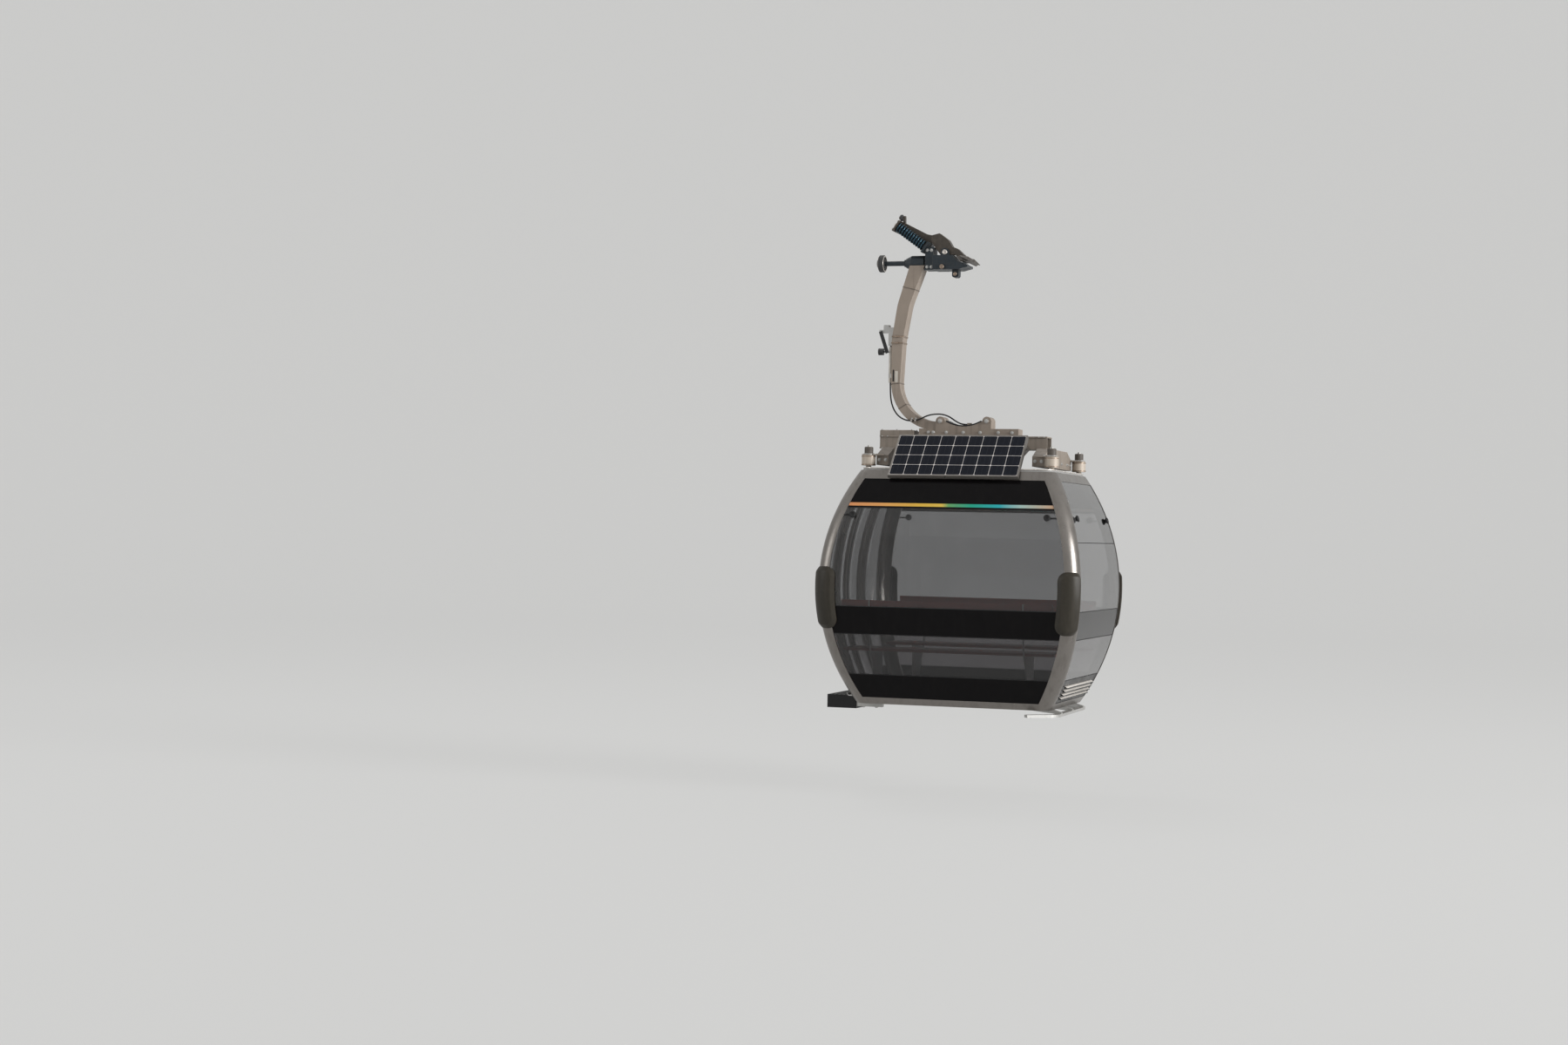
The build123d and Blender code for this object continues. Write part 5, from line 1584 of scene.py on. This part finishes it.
@dataclass
class RoofDetails(Details):
    """Trim round the roof, rings and nuts on the posts, and bolts on the roof frame."""

    trim_rise: float = 1.064
    trim_height: float = 0.010
    trim_width: float = 0.008
    plate_inset: float = 0.0155
    corner: float = 0.106
    post: tuple[float, float] = (0.845, 0.615)
    post_radius: float = 0.063
    cap_radius: float = 0.040
    cap_top_z: float = -1.728
    arm_plate_z: float = -1.796
    ring_z: tuple[float, ...] = (-1.894, -1.820)
    dome: Profile = (
        (0.021, 0.0), (0.021, 0.003), (0.014, 0.004), (0.014, 0.012), (0.010, 0.016), (0.004, 0.018),
    )
    collar: Profile = (
        (0.0004, 0.0), (0.013, 0.0), (0.013, 0.004), (0.006, 0.008), (0.0004, 0.008), (0.0004, 0.0),
    )
    ring: Profile = ((-0.001, 0.0), (0.003, 0.001), (0.003, 0.009), (-0.001, 0.010), (-0.001, 0.0))
    beam_half_depth: float = 0.110
    beam_bolt: Fastener = Fastener(0.0042, 0.004, 0.0055, 0.001)
    beam_bolt_x: tuple[float, ...] = (-0.765, -0.715, 0.715, 0.765)
    beam_bolt_z: tuple[float, ...] = (-1.716, -1.606)
    drive_bolt: Fastener = Fastener(0.007, 0.006, 0.011, 0.0015)
    drive_bolt_x: tuple[float, ...] = (-0.772, -0.630, -0.488)
    drive_bolt_y: float = 0.086
    drive_high_z: float = -1.548
    side_beam_x: float = 0.720
    side_beam_half_width: float = 0.055
    side_beam_end_y: float = 0.600
    side_bolt_y: tuple[float, ...] = (-0.540, -0.400, -0.150, 0.150, 0.400, 0.540)
    side_bolt_z: float = -1.842
    arm_bolt: Fastener = Fastener(0.009, 0.007, 0.013, 0.002)
    arm_bolt_in: float = 0.062
    pair: tuple[float, float] = (-0.030, 0.030)
    sheet_gap: float = 0.002
    sheet_thickness: float = 0.0012
    junction_size: Color = (0.110, 0.075, 0.018)

    def _post_places(self, height: float) -> list[Matrix]:
        """The four posts' axes at one height.

        Args:
            height: The height, in the frame's own Z.

        Returns:
            One place for each post.
        """
        x, y = self.post
        return [
            Matrix.Translation((PLACES.cabin_x + side.value * x, end.value * y, height))
            for side, end in product(Side, Side)
        ]

    def _trim(self) -> bpy.types.Object:
        """Models the thin edge round the roof plate, whose pale finish paints the light along the roof's
        edge.

        Returns:
            The edge, with its low side at height 0.
        """
        half_x = PLACES.span(PLACES.half_width, self.trim_rise) - self.plate_inset
        half_y = PLACES.span(PLACES.half_length, self.trim_rise) - self.plate_inset
        clear_selection()
        bpy.ops.mesh.primitive_plane_add(size=2.0)
        trim = bpy.context.object
        trim.data.transform(Matrix.Diagonal((half_x, half_y, 1.0, 1.0)))
        edit_all(trim)
        bpy.ops.mesh.bevel(offset=self.corner, segments=8, affect="VERTICES")
        bpy.ops.mesh.delete(type="ONLY_FACE")
        bpy.ops.mesh.select_mode(type="EDGE")
        bpy.ops.mesh.select_all(action="SELECT")
        bpy.ops.mesh.extrude_edges_move(TRANSFORM_OT_translate={"value": (0, 0, self.trim_height)})
        bpy.ops.mesh.select_all(action="SELECT")
        bpy.ops.mesh.normals_make_consistent(inside=False)
        leave_edit()
        apply_modifier(trim, "SOLIDIFY", thickness=self.trim_width, offset=1.0)
        round_edges(trim, 0.002, 2, 50.0)
        return trim

    def _posts(self) -> None:
        """Rings, a pressed cap plate and a domed nut on each post."""
        nuts = copies(turned_part(self.dome, 20), self._post_places(self.cap_top_z))
        self.take(nuts, "post_nuts", "bracket_steel")
        collar = turned_part([(self.cap_radius + out, up) for out, up in self.collar])
        collars = copies(collar, self._post_places(self.arm_plate_z))
        self.take(collars, "post_collars", "bracket_steel")
        ring = turned_part([(self.post_radius + out, up) for out, up in self.ring], 36)
        places = [place for height in self.ring_z for place in self._post_places(height)]
        self.take(copies(ring, places), "post_rings", "post_metal", "bronze")

    def _bolts(self) -> None:
        """Bolts on the cross beam, the side beams, the drive's housing and the posts' arms."""
        beam = [
            ((x, side.value * self.beam_half_depth, z), (0.0, side.value, 0.0))
            for x, z, side in product(self.beam_bolt_x, self.beam_bolt_z, Side)
        ]
        self.bolt(self.beam_bolt, "cross_beam_bolts", beam)
        out, z = self.side_beam_x + self.side_beam_half_width, self.side_bolt_z
        beams = [
            ((PLACES.cabin_x + side.value * out, y, z), (side.value, 0.0, 0.0))
            for side, y in product(Side, self.side_bolt_y)
        ]
        for side, end, shift in product(Side, Side, self.pair):
            x = PLACES.cabin_x + side.value * self.side_beam_x + shift
            beams.append(((x, end.value * self.side_beam_end_y, z), (0.0, end.value, 0.0)))
        self.bolt(Fastener(), "side_beam_bolts", beams)
        drive = [
            ((x, side.value * self.drive_bolt_y, self.drive_high_z), AXIS_Z)
            for x, side in product(self.drive_bolt_x, Side)
        ]
        self.bolt(self.drive_bolt, "drive_lid_bolts", drive)
        arms = []
        for side, end, shift in product(Side, Side, self.pair):
            x = PLACES.cabin_x + side.value * (self.post[0] - self.arm_bolt_in)
            arms.append(((x, end.value * (self.post[1] + shift), self.arm_plate_z), AXIS_Z))
        self.bolt(self.arm_bolt, "post_arm_bolts", arms)

    def _solar_back(self) -> None:
        """A plain white sheet behind the cells, with the junction box that their cable leaves."""
        tilt = math.radians(PLACES.solar_tilt)
        outward = Vector((0.0, -math.sin(tilt), math.cos(tilt)))
        up_slope = Vector((0.0, math.cos(tilt), math.sin(tilt)))
        corner = Vector((PLACES.cabin_x, PLACES.solar_low_y, PLACES.solar_low_z))
        middle = corner + up_slope * (PLACES.solar_depth / 2) + outward * PLACES.solar_cells_back
        rims = 2 * PLACES.solar_rim + self.sheet_gap
        size = (PLACES.solar_width - rims, PLACES.solar_depth - rims, self.sheet_thickness)
        sheet = block(size, 0.0)
        round_edges(sheet, 0.0004, 1)
        settle(sheet, face_frame(middle - outward * (self.sheet_thickness / 2), outward, up_slope))
        self.take(sheet, "solar_back_sheet", "solar_cell", "back_sheet")
        _, along, height = self.junction_size
        junction = block(self.junction_size, 0.004)
        pick_faces(junction, lambda face: face.normal.z < -0.9)
        bpy.ops.mesh.inset(thickness=0.008)
        bpy.ops.transform.translate(value=(0.0, 0.0, -0.003))
        leave_edit()
        shift = up_slope * (PLACES.solar_depth / 2 - along)
        back = middle + shift - outward * (self.sheet_thickness + height / 2)
        settle(junction, face_frame(back, outward, up_slope))
        self.take(junction, "solar_junction_box", "black_rubber")

    def build(self) -> None:
        """Builds the roof's small parts."""
        height = PLACES.roof_top_z - self.trim_height
        trim = settle(self._trim(), Matrix.Translation((PLACES.cabin_x, 0.0, height)))
        # The trim's pale finish is painted highlight, the lit line along the roof's edge.
        self.take(trim, "roof_edge", "satin_aluminium", "painted_roof_edge_highlight")
        self._posts()
        self._bolts()
        self._solar_back()


@dataclass
class UnderDetails(Details):
    """Treads on the step, and bolts under the step's arms."""

    step_outer_x: float = -1.118
    step_inner_x: float = -0.871
    step_top_z: float = -3.995
    step_half_length: float = 0.500
    tread_count: int = 5
    tread_height: float = 0.003
    tread_width: float = 0.012
    arm_y: float = 0.480
    arm_low_z: float = -4.096
    arm_bolt: Fastener = Fastener(0.008, 0.006, 0.012, 0.002)
    arm_bolt_x: tuple[float, ...] = (-0.660, -0.780)
    pair: tuple[float, float] = (-0.015, 0.015)

    def build(self) -> None:
        """Builds the small parts under the cabin."""
        rib = block((self.tread_width, 2 * self.step_half_length, self.tread_height), 0.001)
        pitch = (self.step_inner_x - self.step_outer_x) / (self.tread_count + 1)
        z = self.step_top_z + self.tread_height / 2
        places = [
            Matrix.Translation((self.step_outer_x + pitch * (index + 1), 0.0, z))
            for index in range(self.tread_count)
        ]
        self.take(copies(rib, places), "step_treads", "black_rubber")
        arms = [
            ((x, side.value * self.arm_y + shift, self.arm_low_z), -AXIS_Z)
            for x, side, shift in product(self.arm_bolt_x, Side, self.pair)
        ]
        self.bolt(self.arm_bolt, "step_arm_bolts", arms)


@dataclass(frozen=True)
class Lamp:
    """One soft square lamp, its size in metres and its power in watts."""

    name: str
    place: Color
    size: float
    power: float

    def build(self, target: Color) -> None:
        """Places the lamp.

        Args:
            target: What it looks at.
        """
        data = bpy.data.lights.new(self.name, "AREA")
        data.size = self.size
        data.energy = self.power
        lamp = bpy.data.objects.new(self.name, data)
        bpy.context.scene.collection.objects.link(lamp)
        lamp.location = self.place
        lamp.rotation_euler = (Vector(target) - Vector(self.place)).to_track_quat("-Z", "Y").to_euler()


@dataclass
class Studio:
    """Plain pale floor, pale surroundings, soft lamps and the photograph's camera."""

    camera_place: Color = (5.464, -22.063, -2.561)
    yaw: float = 18.09
    pitch: float = 0.33
    roll: float = -1.23
    lens: float = 56.36
    sensor: float = 36.0
    farthest: float = 300.0
    floor_z: float = -4.9
    floor_radius: float = 60.0
    wall_height: float = 30.0
    bend: float = 16.0
    pale: Color = (0.80, 0.80, 0.79)
    pale_warm: Color = (0.78, 0.78, 0.77)
    world_light: float = 0.42
    world_seen: float = 0.90
    floor_seen: Color = (0.15, 0.15, 0.148)
    floor_glow: float = 0.66
    target: Color = (0.1, 0.0, -2.4)
    lamps: tuple[Lamp, ...] = (
        Lamp("key", (30.0, -7.0, 5.0), 12.0, 9500.0),
        Lamp("fill", (-17.0, -14.0, 3.0), 9.0, 800.0),
        Lamp("top", (-9.0, 6.0, 15.0), 8.0, 600.0),
    )

    def _surroundings(self) -> None:
        """A pale world that the camera, metal and glass see, and a softer one that lights."""
        world = bpy.data.worlds.new("pale_room")
        bpy.context.scene.world = world
        world.use_nodes = True
        nodes = Nodes(world.node_tree)
        background = world.node_tree.nodes["Background"]
        background.inputs["Color"].default_value = (*self.pale, 1.0)
        strength = nodes.remap(nodes.seen(), 0.0, 1.0, self.world_light, self.world_seen)
        nodes.link(strength, background.inputs["Strength"])

    def _floor(self) -> None:
        """A wide round floor whose rim bends up into a wall."""
        clear_selection()
        bpy.ops.mesh.primitive_cylinder_add(
            vertices=96, radius=self.floor_radius, depth=self.wall_height,
            location=(0, 0, self.floor_z + self.wall_height / 2),
        )
        floor = bpy.context.object
        floor.name = "studio_floor"
        pick_faces(floor, lambda face: face.normal.z > 0.5)
        bpy.ops.mesh.delete(type="FACE")
        leave_edit()
        pick_faces(floor, lambda face: True)
        bpy.ops.mesh.flip_normals()
        leave_edit()
        round_edges(floor, self.bend, 12, 60.0)
        material, nodes, shader = new_material("PaleFloor")
        seen = nodes.seen()
        lit = nodes.mix(nodes.noise(0.7), self.pale, self.pale_warm)
        nodes.link(nodes.mix(seen, lit, self.floor_seen), shader.inputs["Base Color"])
        shader.inputs["Roughness"].default_value = 0.9
        shader.inputs["Specular IOR Level"].default_value = 0.0
        shader.inputs["Emission Color"].default_value = (*self.pale, 1.0)
        nodes.link(nodes.remap(seen, 0.0, 1.0, 0.0, self.floor_glow), shader.inputs["Emission Strength"])
        floor.data.materials.append(material)

    def _camera(self) -> None:
        """The camera that the photograph was fitted to."""
        yaw, pitch, roll = (math.radians(turn) for turn in (self.yaw, self.pitch, self.roll))
        forward = Vector(
            (-math.sin(yaw) * math.cos(pitch), math.cos(yaw) * math.cos(pitch), math.sin(pitch))
        )
        level = Vector((math.cos(yaw), math.sin(yaw), 0.0))
        down = forward.cross(level)
        right = math.cos(roll) * level + math.sin(roll) * down
        upward = math.sin(roll) * level - math.cos(roll) * down
        turned = Matrix((right, upward, -forward)).transposed()
        data = bpy.data.cameras.new("photo_camera")
        data.lens = self.lens
        data.sensor_width = self.sensor
        data.clip_end = self.farthest
        camera = bpy.data.objects.new("photo_camera", data)
        bpy.context.scene.collection.objects.link(camera)
        camera.matrix_world = Matrix.Translation(self.camera_place) @ turned.to_4x4()
        bpy.context.scene.camera = camera

    def build(self) -> None:
        """Sets up everything that isn't the object."""
        bpy.context.scene.view_settings.view_transform = "Standard"
        self._surroundings()
        self._floor()
        for lamp in self.lamps:
            lamp.build(self.target)
        self._camera()


def main() -> None:
    """Builds the scene round the packed frame."""
    logging.basicConfig(level=logging.INFO, format="%(name)s %(message)s")
    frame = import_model()
    Studio().build()
    shop = Workshop(frame)
    shop.dress_nodes()
    for group in (DoorCable, GripDetails, ArmDetails, WindowDetails, RoofDetails, UnderDetails):
        group(shop).build()
    bpy.context.view_layer.update()


if __name__ == "__main__":
    main()
